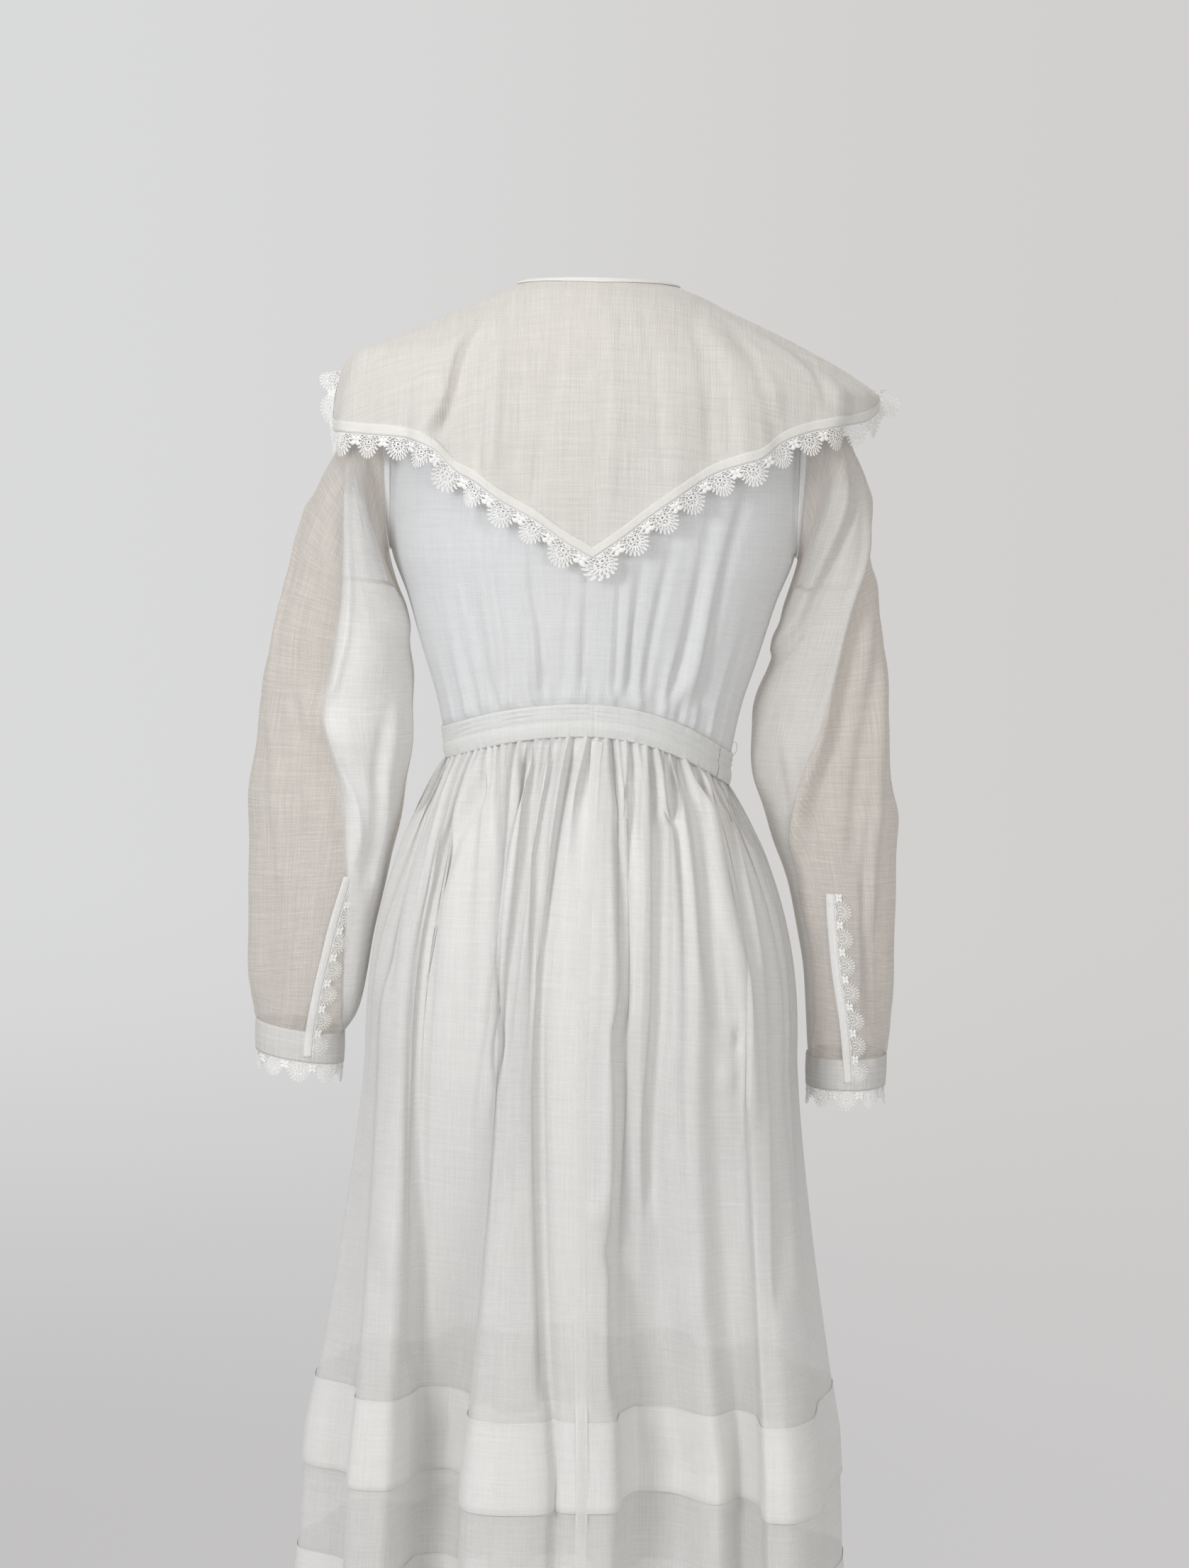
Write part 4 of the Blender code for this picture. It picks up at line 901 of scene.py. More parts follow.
class Sleeve:
    """The form of one sleeve. side is 1 on the wearer's left and -1 on the right."""

    def __init__(self, word, side, table, marks, placket, fold, fold_cloth):
        self.word = word
        self.side = side
        self.table = table
        self.marks = marks
        self.placket = placket
        self.fold = fold
        self.fold_cloth = fold_cloth
        self.last = len(table) - 2

    def value(self, name, row):
        return smooth(np.arange(self.last + 1), column(self.table, name), row)

    def point(self, row, angle):
        """Rows may lie between those of the table, and angle 0 is the outer line."""
        across = np.cos(angle)
        x, z = (
            0.5 * (self.value(f"outer_{axis}", row) * (1 + across)
                   + self.value(f"inner_{axis}", row) * (1 - across))
            for axis in "xz"
        )
        y = self.value("centre_y", row) + self.value("half_depth", row) * np.sin(angle)
        return stacked(self.side * x, y, z)

    def relief(self, row, angle, point):
        """Height of the folds and creases: those that show, and alike ones in front."""
        left = self.last - row
        # Long diagonal folds, deepest on the outer side, and some crumple at the elbow
        long_folds = np.sin(4 * angle + 0.55 * row) + 0.6 * np.sin(3 * angle - 0.40 * row + 1.0)
        elbow = bump(row - ELBOW_ROW, 2.6) * np.sin(2.4 * row + 2 * angle)
        folds = SLEEVE_FOLD_HEIGHT * long_folds + ELBOW_FOLD_HEIGHT * elbow
        folds = folds * np.clip(row / 4, 0, 1) * np.clip(left / 2, 0, 1)
        folds = folds * (0.55 + 0.45 * np.cos(angle))
        at_back = ease(0.5 + 2.0 * np.sin(angle))
        x, z = point[..., 0], point[..., 2]
        marks = creases(x, z, self.marks, 0.04) * at_back
        marks = marks + creases(x + 0.006, z - 0.012, self.marks, 0.04) * (1 - at_back) * 0.9
        crumple = np.sin(3.1 * row + 2.2 * angle) * np.sin(1.3 * row - 3.0 * angle + 0.5)
        crumple = crumple * SLEEVE_CRUMPLE_HEIGHT * (0.5 + 1.3 * bump(row - ELBOW_ROW, 3.4))
        body = np.clip(row / 3, 0, 1) * np.clip(left / 1.5, 0, 1)
        return folds + (marks + crumple) * body

    def grid(self, finer_rows, finer_columns):
        """Points all round the sleeve, with the gathers above its cuff."""
        rows = np.linspace(0, self.last, self.last * finer_rows + 1)
        at = np.linspace(0, SLEEVE_COLUMNS, SLEEVE_COLUMNS * finer_columns, endpoint=False)
        turn = 2 * math.pi * at / SLEEVE_COLUMNS
        row, angle = np.meshgrid(rows, turn, indexing="ij")
        points = self.point(row, angle)
        centre = points.mean(axis=1, keepdims=True)
        left = self.last - row
        near_cuff = np.clip(1 - left / CUFF_GATHER_ROWS, 0, 1) * np.clip(left * 2 + 0.5, 0, 1)
        spread = at + 0.3 * np.sin(5 * turn)
        strength = 1.0 + 0.45 * np.sin(4 * turn + 1.1)
        gathers = CUFF_GATHER_HEIGHT * near_cuff * strength * np.cos(math.pi * spread)
        relief = self.relief(row, angle, points)
        return points + unit(points - centre) * (relief + gathers)[..., None]

    def cuff_ring(self, columns, drop):
        """A ring of the cuff, a given drop below the sleeve's lower edge."""
        angle = np.linspace(0, 2 * math.pi, columns, endpoint=False)
        return self.point(np.full(columns, float(self.last)), angle) - np.array([0.0, 0.0, drop])

    def place(self, x, z):
        """The rows and angles where the sleeve's back passes places. x is without its sign."""
        x, z = np.broadcast_arrays(np.asarray(x, float), np.asarray(z, float))
        row = np.full(x.shape, 0.6 * self.last)
        for _ in range(30):
            outer, inner = self.value("outer_x", row), self.value("inner_x", row)
            angle = np.arccos(np.clip((2 * x - outer - inner) / (outer - inner), -0.98, 0.98))
            up, down = np.clip(row - 0.3, 0, self.last), np.clip(row + 0.3, 0, self.last)
            here, above, below = (self.point(at, angle)[..., 2] for at in (row, up, down))
            step = (here - z) * (down - up) / np.maximum(1e-6, above - below)
            row = np.clip(row + np.clip(0.9 * step, -1, 1), 0, self.last)
        return row, angle

    def on_back(self, x, z, lift):
        """Points lifted off the back of the sleeve and its cuff. x is without its sign."""
        row, angle = self.place(x, z)
        here = self.point(row, angle)
        middle = 0.5 * (self.point(row, 0.0) + self.point(row, math.pi))
        rise = self.relief(row, angle, here) + lift
        over_cuff = np.clip(here[..., 2] - z, 0, None)[..., None] * np.array([0.0, 0.0, 1.0])
        return here + unit(here - middle) * rise[..., None] - over_cuff

    def placket_line(self, heights, offset, rest):
        """Points laid on the sleeve and its cuff, offset sideways from the placket's middle."""
        x = read(self.placket, "x", heights) + offset
        return self.on_back(x, heights, LAID_ON + PLACKET_REST + rest)


def off_grid(grid, row, angle, lift):
    """Points lifted off a sleeve's own grid, at rows and angles between those of the grid."""
    columns = grid.shape[1]
    at = angle / (2 * math.pi) * columns
    i = np.clip(np.floor(row).astype(int), 0, grid.shape[0] - 2)
    j = np.floor(at).astype(int)
    down, on = (row - i)[..., None], (at - j)[..., None]
    near, far = j % columns, (j + 1) % columns
    upper = grid[i, near] * (1 - on) + grid[i, far] * on
    lower = grid[i + 1, near] * (1 - on) + grid[i + 1, far] * on
    centre = grid.mean(axis=1)[i]
    points = upper * (1 - down) + lower * down
    return points + unit(points - centre) * np.asarray(lift)[..., None]


# Materials


class Nodes:
    """Adds nodes to one tree, so that a pattern reads as one line a step."""

    def __init__(self, tree):
        self.tree = tree

    def put(self, value, socket):
        """Links an output to a socket, or sets the socket to a number, vector or colour."""
        if hasattr(value, "is_output"):
            self.tree.links.new(value, socket)
        elif socket.type == "RGBA":
            socket.default_value = (*value, 1.0)
        else:
            socket.default_value = value

    def fill(self, node, **values):
        """Puts values in a node's named inputs, with _ for a space in their names."""
        for name, value in values.items():
            self.put(value, node.inputs[name.replace("_", " ")])
        return node.outputs[0]

    def add(self, kind, **values):
        return self.fill(self.tree.nodes.new(kind), **values)

    def in_order(self, node, *values):
        for value, socket in zip(values, node.inputs):
            self.put(value, socket)
        return node.outputs[0]

    def math(self, operation, *values, clamp=False):
        node = self.tree.nodes.new("ShaderNodeMath")
        node.operation = operation
        node.use_clamp = clamp
        return self.in_order(node, *values)

    def times(self, first, second, clamp=False):
        return self.math("MULTIPLY", first, second, clamp=clamp)

    def line(self, value, slope, start, clamp=False):
        return self.math("MULTIPLY_ADD", value, slope, start, clamp=clamp)

    def noise(self, place, scale, detail=1.0, roughness=0.5):
        """Noise over a place, with its own scale in each direction."""
        scaled = self.add("ShaderNodeMapping", Vector=place, Scale=scale)
        return self.add("ShaderNodeTexNoise", Vector=scaled, Scale=1.0, Detail=detail,
                        Roughness=roughness)

    def blend(self, factor, first, second):
        """Mixes two colours."""
        node = self.tree.nodes.new("ShaderNodeMix")
        node.data_type = "RGBA"
        for value, place in ((factor, 0), (first, 6), (second, 7)):
            self.put(value, node.inputs[place])
        return node.outputs[2]

    def shaders(self, factor, first, second):
        """Mixes two surfaces."""
        return self.in_order(self.tree.nodes.new("ShaderNodeMixShader"), factor, first, second)


class Surface(Nodes):
    """A material and its nodes."""

    def __init__(self, name):
        self.material = bpy.data.materials.new(name)
        self.material.use_nodes = True
        super().__init__(self.material.node_tree)

    def principled(self, **values):
        return self.fill(self.tree.nodes["Principled BSDF"], **values)

    def cotton(self, tone, light, dark, patch, ageing, height, relief, through, **values):
        """Cotton between its dark and light colours, older in patches, letting some light through."""
        colour = self.blend(tone, dark, light)
        aged = [part * share for part, share in zip(light, ageing)]
        colour = self.blend(patch, colour, aged)
        raised = self.add("ShaderNodeBump", Height=height, Distance=relief, Strength=1.0)
        threads = self.principled(Base_Color=colour, Normal=raised, Specular_IOR_Level=0.25,
                                  **values)
        glow = self.add("ShaderNodeBsdfTranslucent", Color=colour)
        return self.shaders(through, threads, glow)

    def show(self, surface):
        self.put(surface, self.tree.nodes["Material Output"].inputs["Surface"])
        return self.material


def woven(name, light, dark, alpha, slub, through, pitch=WEAVE_PITCH, gathered=0.0, veil=0.0):
    """Plain woven cotton: uneven threads both ways, a fine weave and a little ageing.

    alpha is how much of what is behind it the cloth hides, and slub how uneven its threads are.
    through is the share of the light on its threads that passes on and spreads behind them.
    gathered is how much denser the cloth looks at its upper edge, where it is drawn together.
    veil is how far in from its first edge a folded layer takes to reach its full density.
    """
    made = Surface(name)
    uv = made.tree.nodes.new("ShaderNodeUVMap")
    uv.uv_map = "Cloth"
    cloth = uv.outputs[0]
    parts = made.tree.nodes.new("ShaderNodeSeparateXYZ")
    made.fill(parts, Vector=cloth)
    across, down = parts.outputs[0], parts.outputs[1]
    # Fine threads and slubs, each way, and broad patches of age
    warp = made.noise(cloth, (1250, 22, 0), 1.5, 0.6)
    weft = made.noise(cloth, (24, 1150, 1), 1.5, 0.6)
    slub_warp = made.noise(cloth, (420, 7, 2), 2.0, 0.6)
    slub_weft = made.noise(cloth, (9, 360, 5), 2.0, 0.6)
    broad = made.noise(cloth, (5, 4, 3), 3.0, 0.55)
    turns = 2 * math.pi / pitch
    weave = made.math("ADD", made.math("SINE", made.times(across, turns)),
                      made.math("SINE", made.times(down, turns)))
    thick = made.times(made.math("ADD", slub_warp, slub_weft), 0.6)
    threads = made.math("ADD", made.math("ADD", warp, weft), thick)
    threads = made.math("SUBTRACT", threads, 1.6)
    tone = made.line(threads, 1.3 * slub, 0.5)
    tone = made.line(weave, 0.05, tone, clamp=True)
    patch = made.times(made.line(broad, 2.6, -1.1, clamp=True), 0.2)
    surface = made.cotton(
        tone, light, dark, patch, AGED_CLOTH, made.line(weave, 0.25, threads), CLOTH_RELIEF,
        through, Roughness=made.line(threads, -0.12, 0.88), Sheen_Weight=0.12, Sheen_Roughness=0.6,
    )
    if alpha < 1:
        cover = made.line(weave, 0.03, alpha)
        if gathered:
            drawn = made.line(down, 1.7, 1.1, clamp=True)
            cover = made.line(drawn, gathered, cover)
        cover = made.line(threads, 0.34 * slub, cover, clamp=True)
        if veil:
            inward = made.times(across, 1 / veil, clamp=True)
            downward = made.times(down, -1 / (veil + VEIL_TOP), clamp=True)
            cover = made.times(cover, made.times(inward, downward))
        surface = made.shaders(cover, made.add("ShaderNodeBsdfTransparent"), surface)
    return made.show(surface)


def thread_material(name, light, dark):
    """Cotton thread with a fine grain, paler where the grain stands up, and aged in patches."""
    made = Surface(name)
    place = made.tree.nodes.new("ShaderNodeTexCoord").outputs["Object"]
    twist = made.noise(place, (2600, 2600, 2600))
    patch = made.times(made.line(made.noise(place, (30, 30, 30), 2.0), 1.6, -0.6, clamp=True), 0.25)
    return made.show(made.cotton(
        twist, light, dark, patch, AGED_THREAD, twist, THREAD_RELIEF, 0.08,
        Roughness=made.line(twist, 0.2, 0.7), Sheen_Weight=0.1,
    ))


VOILE = woven("Skirt voile", (0.93, 0.925, 0.915), (0.83, 0.82, 0.805), 0.74, 0.35, 0.18,
              gathered=0.22)
BODICE_VOILE = woven("Bodice voile", (0.90, 0.91, 0.92), (0.80, 0.81, 0.82), 0.95, 0.3, 0.15)
SLEEVE_VOILE = woven("Sleeve voile", (0.87, 0.83, 0.78), (0.68, 0.635, 0.58), 0.72, 0.9, 0.25)
FOLDED_LEFT = woven("Folded voile left", (0.95, 0.948, 0.94), (0.87, 0.868, 0.86), 0.88, 0.5,
                    0.08, veil=0.020)
FOLDED_RIGHT = woven("Folded voile right", (0.94, 0.935, 0.92), (0.85, 0.845, 0.83), 0.47, 0.5,
                     0.05, veil=0.006)
COLLAR_CLOTH = woven("Collar cotton", (0.83, 0.81, 0.765), (0.68, 0.66, 0.615), 1.0, 0.9, 0.10,
                     pitch=0.0008)
DOUBLED = woven("Doubled cotton", (0.93, 0.925, 0.91), (0.82, 0.815, 0.80), 1.0, 0.6, 0.10)
TUCK_CLOTH = woven("Tuck cotton", (0.895, 0.89, 0.875), (0.785, 0.78, 0.765), 1.0, 0.7, 0.10)
BAND_CLOTH = woven("Waistband cotton", (0.87, 0.875, 0.86), (0.75, 0.755, 0.74), 1.0, 0.7, 0.10)
SEAM_CLOTH = woven("Seam voile", (0.96, 0.955, 0.94), (0.89, 0.885, 0.87), 0.55, 0.3, 0.10)
CUFF_CLOTH = woven("Cuff cotton", (0.84, 0.83, 0.81), (0.72, 0.71, 0.69), 0.93, 0.6, 0.15)
CREAM_HEM = woven("Collar hem cotton", (0.92, 0.905, 0.865), (0.84, 0.825, 0.785), 1.0, 0.3, 0.10)
LACE = thread_material("Lace thread", (0.95, 0.945, 0.93), (0.87, 0.865, 0.85))
SEWING = thread_material("Sewing thread", (0.90, 0.89, 0.87), (0.74, 0.73, 0.71))


# What every piece is made with


def add_object(name, data):
    made = bpy.data.objects.new(name, data)
    bpy.context.scene.collection.objects.link(made)
    return made


def aim(made, right, over, ahead, place):
    """Places a camera or a lamp so that it looks ahead."""
    made.matrix_world = Matrix([*zip(right, over, -ahead, place), (0, 0, 0, 1)])


def finish_piece(made, replaced=()):
    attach(made, "root")
    if replaced:
        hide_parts(*replaced)
    return made


def mesh_object(name, points, faces, material):
    mesh = bpy.data.meshes.new(name)
    mesh.from_pydata(points, [], faces)
    mesh.update()
    mesh.shade_smooth()
    mesh.materials.append(material)
    return add_object(name, mesh)


def squares(rows, columns, rows_close, columns_close):
    """The corners of every square of a grid: their rows and columns, and their points.

    Where a grid closes on itself, the last squares' far corners are its first points.
    """
    i, j = np.meshgrid(np.arange(rows if rows_close else rows - 1),
                       np.arange(columns if columns_close else columns - 1), indexing="ij")
    corners = [np.stack([i + down, j + on], -1) for down, on in ((0, 0), (1, 0), (1, 1), (0, 1))]
    corners = np.stack(corners, axis=2).reshape(-1, 4, 2)
    return corners, corners[..., 0] % rows * columns + corners[..., 1] % columns


def sheet(name, grid, material, slot, replaced=(), around=False, thickness=0.0, centre=None,
          threads=None):
    """Makes a sheet of cloth of a grid of points.

    Its threads run along the grid, or along the flat places given for its points.
    """
    corners, faces = squares(*grid.shape[:2], False, around)
    corner = grid.reshape(-1, 3)[faces]
    face_normal = np.cross(corner[:, 2] - corner[:, 0], corner[:, 3] - corner[:, 1])
    facing = normals(grid, around, centre).reshape(-1, 3)[faces[:, 0]]
    if (face_normal * facing).sum() < 0:
        faces = faces[:, ::-1]
        corners = corners[:, ::-1]
    made = mesh_object(name, grid.reshape(-1, 3).tolist(), faces.tolist(), material)
    if threads is None:
        whole = np.concatenate([grid, grid[:, :1]], axis=1) if around else grid
        lengths = np.linalg.norm(np.diff(whole, axis=1), axis=2)
        longest = lengths[lengths.sum(axis=1).argmax()]
        u = np.concatenate([[0], np.cumsum(longest)])
        falls = np.linalg.norm(np.diff(grid, axis=0), axis=2).mean(axis=1)
        v = np.concatenate([[0], np.cumsum(falls)])
        uv = np.stack([u[corners[..., 1]], -v[corners[..., 0]]], axis=-1)
    else:
        uv = threads.reshape(-1, 2)[faces]
    layer = made.data.uv_layers.new(name="Cloth")
    layer.data.foreach_set("uv", uv.reshape(-1).astype(np.float32))
    if thickness:
        wall = made.modifiers.new("Thickness", "SOLIDIFY")
        wall.thickness = thickness
        wall.offset = 0.0
    return finish_piece(made, replaced) if slot else made


def strip(name, line, aside, width, facing, lift, material, crown, columns):
    """A narrow band of cloth along a line of points, a little raised along its middle."""
    share = np.linspace(-0.5, 0.5, columns)[None, :, None]
    raised = lift + crown * (1 - (2 * share) ** 2)
    grid = line[:, None] + unit(aside)[:, None] * share * width + unit(facing)[:, None] * raised
    behind = grid.mean(axis=(0, 1)) - facing.mean(axis=0)
    return sheet(name, grid, material, "cotton_voile", centre=behind)


def stitches(name, line, facing, lift, radius=STITCH_RADIUS):
    """A row of sewn stitches along a line of points, lying on the side that facing points to."""
    run = run_along(line)
    count = int(run[-1] / (STITCH_LENGTH + STITCH_GAP))
    starts = (np.arange(count) + 0.2) * run[-1] / count
    first, last = on_line(starts, run, line), on_line(starts + STITCH_LENGTH, run, line)
    up = unit(on_line(starts, run, facing))
    aside = np.cross(unit(last - first), up)
    middle = 0.5 * (first + last) + lift * up
    waist = [middle + radius * way for way in (aside, up, -aside, -up)]
    points = np.stack([first, *waist, last], axis=1).reshape(-1, 3)
    faces = []
    for start in range(0, 6 * count, 6):
        for corner in range(4):
            ahead = (corner + 1) % 4
            faces.append((start, start + 1 + ahead, start + 1 + corner))
            faces.append((start + 5, start + 1 + corner, start + 1 + ahead))
    return finish_piece(mesh_object(name, points.tolist(), faces, SEWING))


# Tatted lace


def tube(path, radius, closes=False, sides=4):
    """Points and faces of a thread lying along a path in a plane: s, t and height above it."""
    path = np.asarray(path, float)
    if closes:
        ahead = np.roll(path, -1, axis=0) - np.roll(path, 1, axis=0)
    else:
        ahead = np.gradient(path, axis=0)
    ahead = unit(ahead)
    aside = np.stack([-ahead[:, 1], ahead[:, 0]], axis=-1)
    turn = 2 * math.pi * np.arange(sides) / sides
    flat = path[:, None] + radius * np.cos(turn)[:, None] * aside[:, None]
    height = np.broadcast_to(0.55 * radius * np.sin(turn), flat.shape[:2])
    points = np.concatenate([flat, height[..., None]], axis=-1).reshape(-1, 3)
    return points, squares(len(path), sides, closes, True)[1]


def ring(s, t, radius_s, radius_t, turn=0.0, steps=10):
    angle = 2 * math.pi * np.arange(steps) / steps
    along, across = radius_s * np.cos(angle), radius_t * np.sin(angle)
    return np.stack([s + along * math.cos(turn) - across * math.sin(turn),
                     t + along * math.sin(turn) + across * math.cos(turn)], axis=-1)


def petal(s, t, radius_s, radius_t, turn, steps=10):
    """A close-worked leaf of the lace: a small cushion of thread."""
    levels = ((1.0, 0.0), (0.7, 0.55), (0.35, 0.72))
    points = []
    faces = []
    for face in (1, -1):
        start = len(points)
        for size, height in levels:
            flat = ring(s, t, radius_s * size, radius_t * size, turn, steps)
            points += [(a, b, face * height) for a, b in flat]
        points.append((s, t, face * 0.66))
        for k in range(steps):
            ahead = (k + 1) % steps
            for level in range(len(levels) - 1):
                low, high = start + level * steps, start + (level + 1) * steps
                faces.append([low + k, low + ahead, high + ahead, high + k][::face])
            top = start + (len(levels) - 1) * steps
            faces.append([top + k, top + ahead, len(points) - 1][::face])
    return np.array(points), faces


def fan_point(reach, angle):
    return FAN_PLACE[0] + 0.74 * reach * math.sin(angle), FAN_PLACE[1] + reach * math.cos(angle)


def lace_repeat(weight):
    """The threads of one fan and one clover, with the chain that holds them to the hem.

    weight is how thick the threads are beside those of the collar's edging.
    """
    # The fan: a ring, small rings round it, a curved thread and two rows of loops
    made = [tube(ring(*FAN_PLACE, 1.6, 1.7, steps=12), 0.70 * weight, True, 5)]
    for angle in 2 * math.pi * (np.arange(8) + 0.5) / 8:
        s, t = fan_point(4.4, angle)
        made.append(tube(ring(s, max(t, 1.7), 1.25, 1.25, steps=8), 0.40 * weight, True))
    arc = [fan_point(6.4, angle) for angle in np.radians(np.linspace(-112, 112, 21))]
    made.append(tube(arc, 0.40 * weight))
    for reach, half_angle, radius_s, radius_t, thread, steps in FAN_LOOPS[1:]:
        for angle in np.radians(np.linspace(-half_angle, half_angle, FAN_LOOP_COUNT)):
            loop = ring(*fan_point(reach, angle), radius_s, radius_t, -angle * 0.9, steps)
            made.append(tube(loop, thread * weight, True))
    for degrees, reach in CLOVER_LEAVES:
        turn = math.radians(degrees)
        s, t = CLOVER_PLACE
        leaf = (s + reach * math.sin(turn), t + reach * math.cos(turn))
        made.append(petal(*leaf, 1.95, 2.5, -turn))
    # The chain: small arches on a cord, and links to the fan and the clover
    angle = np.linspace(0, math.pi, 6)
    for s in np.arange(7) * REPEAT_WIDTH / 7:
        arch = np.stack([s + 1.86 - 1.7 * np.cos(angle), 0.5 + 1.7 * np.sin(angle)], axis=-1)
        made.append(tube(arch, 0.44 * weight))
    cord_s = np.linspace(0, REPEAT_WIDTH, 9)
    made.append(tube(np.stack([cord_s, 0.3 + 0.12 * np.cos(cord_s)], axis=-1), 0.55))
    made += [tube(link, 0.46) for link in LACE_LINKS]
    points = []
    faces = []
    rounded = []
    start = 0
    for some_points, some_faces in made:
        points.append(some_points)
        faces += [[start + corner for corner in face] for face in some_faces]
        rounded += [isinstance(some_faces, list)] * len(some_faces)
        start += len(some_points)
    return np.concatenate(points), faces, rounded


def lace(name, edge, outwards, repeats, depth, away, replaced, flutter=0.0012, weight=1.0):
    """Tatted edging along a line of points. away is a point that the lace faces away from."""
    run = run_along(edge)
    step = run[-1] / repeats
    pattern, pattern_faces, rounded = lace_repeat(weight)
    scale = np.array([step / REPEAT_WIDTH, depth / REPEAT_DEPTH, 0.001])
    out = unit(outwards)
    facing = unit(np.cross(unit(np.gradient(edge, axis=0)), out))
    if (facing * (edge - away)).sum() < 0:
        facing = -facing
    points = []
    faces = []
    for k in range(repeats):
        # No two repeats lie quite alike
        local = pattern.copy()
        lean = RANDOM.uniform(-0.07, 0.07) * local[:, 1]
        bend = RANDOM.uniform(-0.5, 0.5) * bump(local[:, 0] - 0.5 * REPEAT_WIDTH, 14)
        local[:, 0] += lean + bend
        local[:, 1] *= 1 + RANDOM.uniform(-0.06, 0.04)
        local = local * scale
        lift, tilt = RANDOM.uniform(-1, 1) * flutter, RANDOM.uniform(-1, 1) * flutter
        reach = np.clip(local[:, 1] / depth, 0, 1)
        share = local[:, 0] / step - 0.5
        local[:, 2] += (lift + 2 * tilt * share) * reach**1.4 * bump(share, 0.62)
        at = np.clip(k * step + local[:, 0], 0, run[-1])
        base, outs, faced = (on_line(at, run, line) for line in (edge, out, facing))
        start = k * len(pattern)
        points.append(base + outs * (LACE_GAP + local[:, 1:2]) + faced * local[:, 2:3])
        faces += [[start + corner for corner in face] for face in pattern_faces]
    made = mesh_object(name, np.concatenate(points).tolist(), faces, LACE)
    made.data.polygons.foreach_set("use_smooth", rounded * repeats)
    return finish_piece(made, replaced)


# Pieces


def build_bodice():
    finer = 6
    back = bodice(True, BODICE_BACK_COLUMNS, finer)
    front = bodice(False, BODICE_FRONT_COLUMNS, finer)
    cloth_back, cloth_front = (
        sheet(f"{name}_cloth", grid, BODICE_VOILE, "cotton_voile", [name])
        for name, grid in (("bodice_back", back), ("bodice_front", front))
    )
    # The sleeves are set in with a narrow seam along each armhole
    facing = normals(back)
    aside = np.gradient(back, axis=1)
    to_underarm, to_tip, _ = BODICE_ROWS
    rows = slice(to_underarm * finer, (to_underarm + to_tip) * finer)
    seams = [
        strip(f"armhole_seam_{word}", back[rows, at], aside[rows, at], ARMHOLE_SEAM_WIDTH,
              facing[rows, at], SEAM_LIFT, BODICE_VOILE, ARMHOLE_SEAM_CROWN, 5)
        for word, at in ARMHOLE_SEAM_COLUMNS
    ]


def build_waistband():
    start = math.degrees(math.asin(WAISTBAND_END_X / WAISTBAND_HALF_WIDTH))
    degrees = np.linspace(start + WAISTBAND_LAP_DEGREES, start + 360 - WAISTBAND_LAP_DEGREES, 721)
    drops = np.linspace(0, WAISTBAND_HEIGHT, 23)
    grid = np.stack([waist_ring(degrees, drop) for drop in drops])
    facing = normals(grid)
    share = (drops / WAISTBAND_HEIGHT)[:, None]
    run = run_along(grid[0])
    # A sewn line along the middle, soft wrinkles above it and puckers from the gathers
    height = -0.0007 * bump(share - 0.5, 0.07) + 0.0004 * bump(share - 0.06, 0.06)
    wrinkle = wander(run, 0.012) * np.sin(42 * share + wander(run, 0.05, 2.5))
    height = height + 0.0008 * wrinkle * bump(share - 0.26, 0.26)
    pucker = wander(run, 0.0045) * 0.0005 * (bump(share - 1.0, 0.35) + bump(share, 0.3))
    height = height + pucker + 0.0010 * bump(share - 0.72, 0.3)
    # A shallow dent near the middle of the back
    height = height - 0.0006 * bump(grid[..., 0] + 0.005, 0.0020) * (grid[..., 1] > 0)
    edges = ease(share / 0.05) * ease((1 - share) / 0.05)
    grid = grid + facing * (height + 0.0006 + 0.0008 * edges)[..., None]
    made = sheet("waistband_cloth", grid, BAND_CLOTH, "doubled_cotton", ["waistband"],
                 thickness=WAISTBAND_THICKNESS)
    for name, place in WAISTBAND_STITCH_ROWS:
        row = int(round(place * (len(drops) - 1)))
        stitches(f"waistband_stitches_{name}", grid[row], facing[row], 0.00045,
                             FINE_STITCH_RADIUS)


def build_thread_loop():
    """The little loop of thread that stands at the right end of the waistband's top edge."""
    points, faces = tube(ring(0, 0, *THREAD_LOOP_SIZE, 0.2, 24), THREAD_LOOP_RADIUS, True, 5)
    placed = points[:, [0, 2, 1]] + np.array(THREAD_LOOP_PLACE)
    made = mesh_object("waistband_thread_loop", placed.tolist(), faces.tolist(), SEWING)
    finish_piece(made)


def build_tuck(node, band):
    """A deep fold of the skirt's cloth, stitched down along its top and free below."""
    facing = normals(band, True)
    rows = np.linspace(0, 1, band.shape[0])[:, None]
    stand = LAID_ON - 0.0010 + 0.0016 * rows**1.5 - 0.0006 * bump(rows - 0.05, 0.05)
    along = 2 * math.pi * np.linspace(0, 1, band.shape[1], endpoint=False)
    ripple = 0.0006 * np.sin(31 * along + 1.0) * np.sin(13 * along)
    face = band + facing * (stand + ripple * rows)[..., None]
    # The fold turns under at the bottom and comes back up inside
    turned = [face[-1] - facing[-1] * inward + np.array([0.0, 0.0, rise])
              for inward, rise in TUCK_TURN]
    grid = np.concatenate([face, np.stack(turned)])
    made = sheet(f"{node}_cloth", grid, TUCK_CLOTH, "doubled_cotton", [node], around=True)
    line = 0.85 * face[0] + 0.15 * face[1]
    sewn = stitches(f"{node}_cloth_stitches", closed(line), closed(facing[0]), 0.0004)


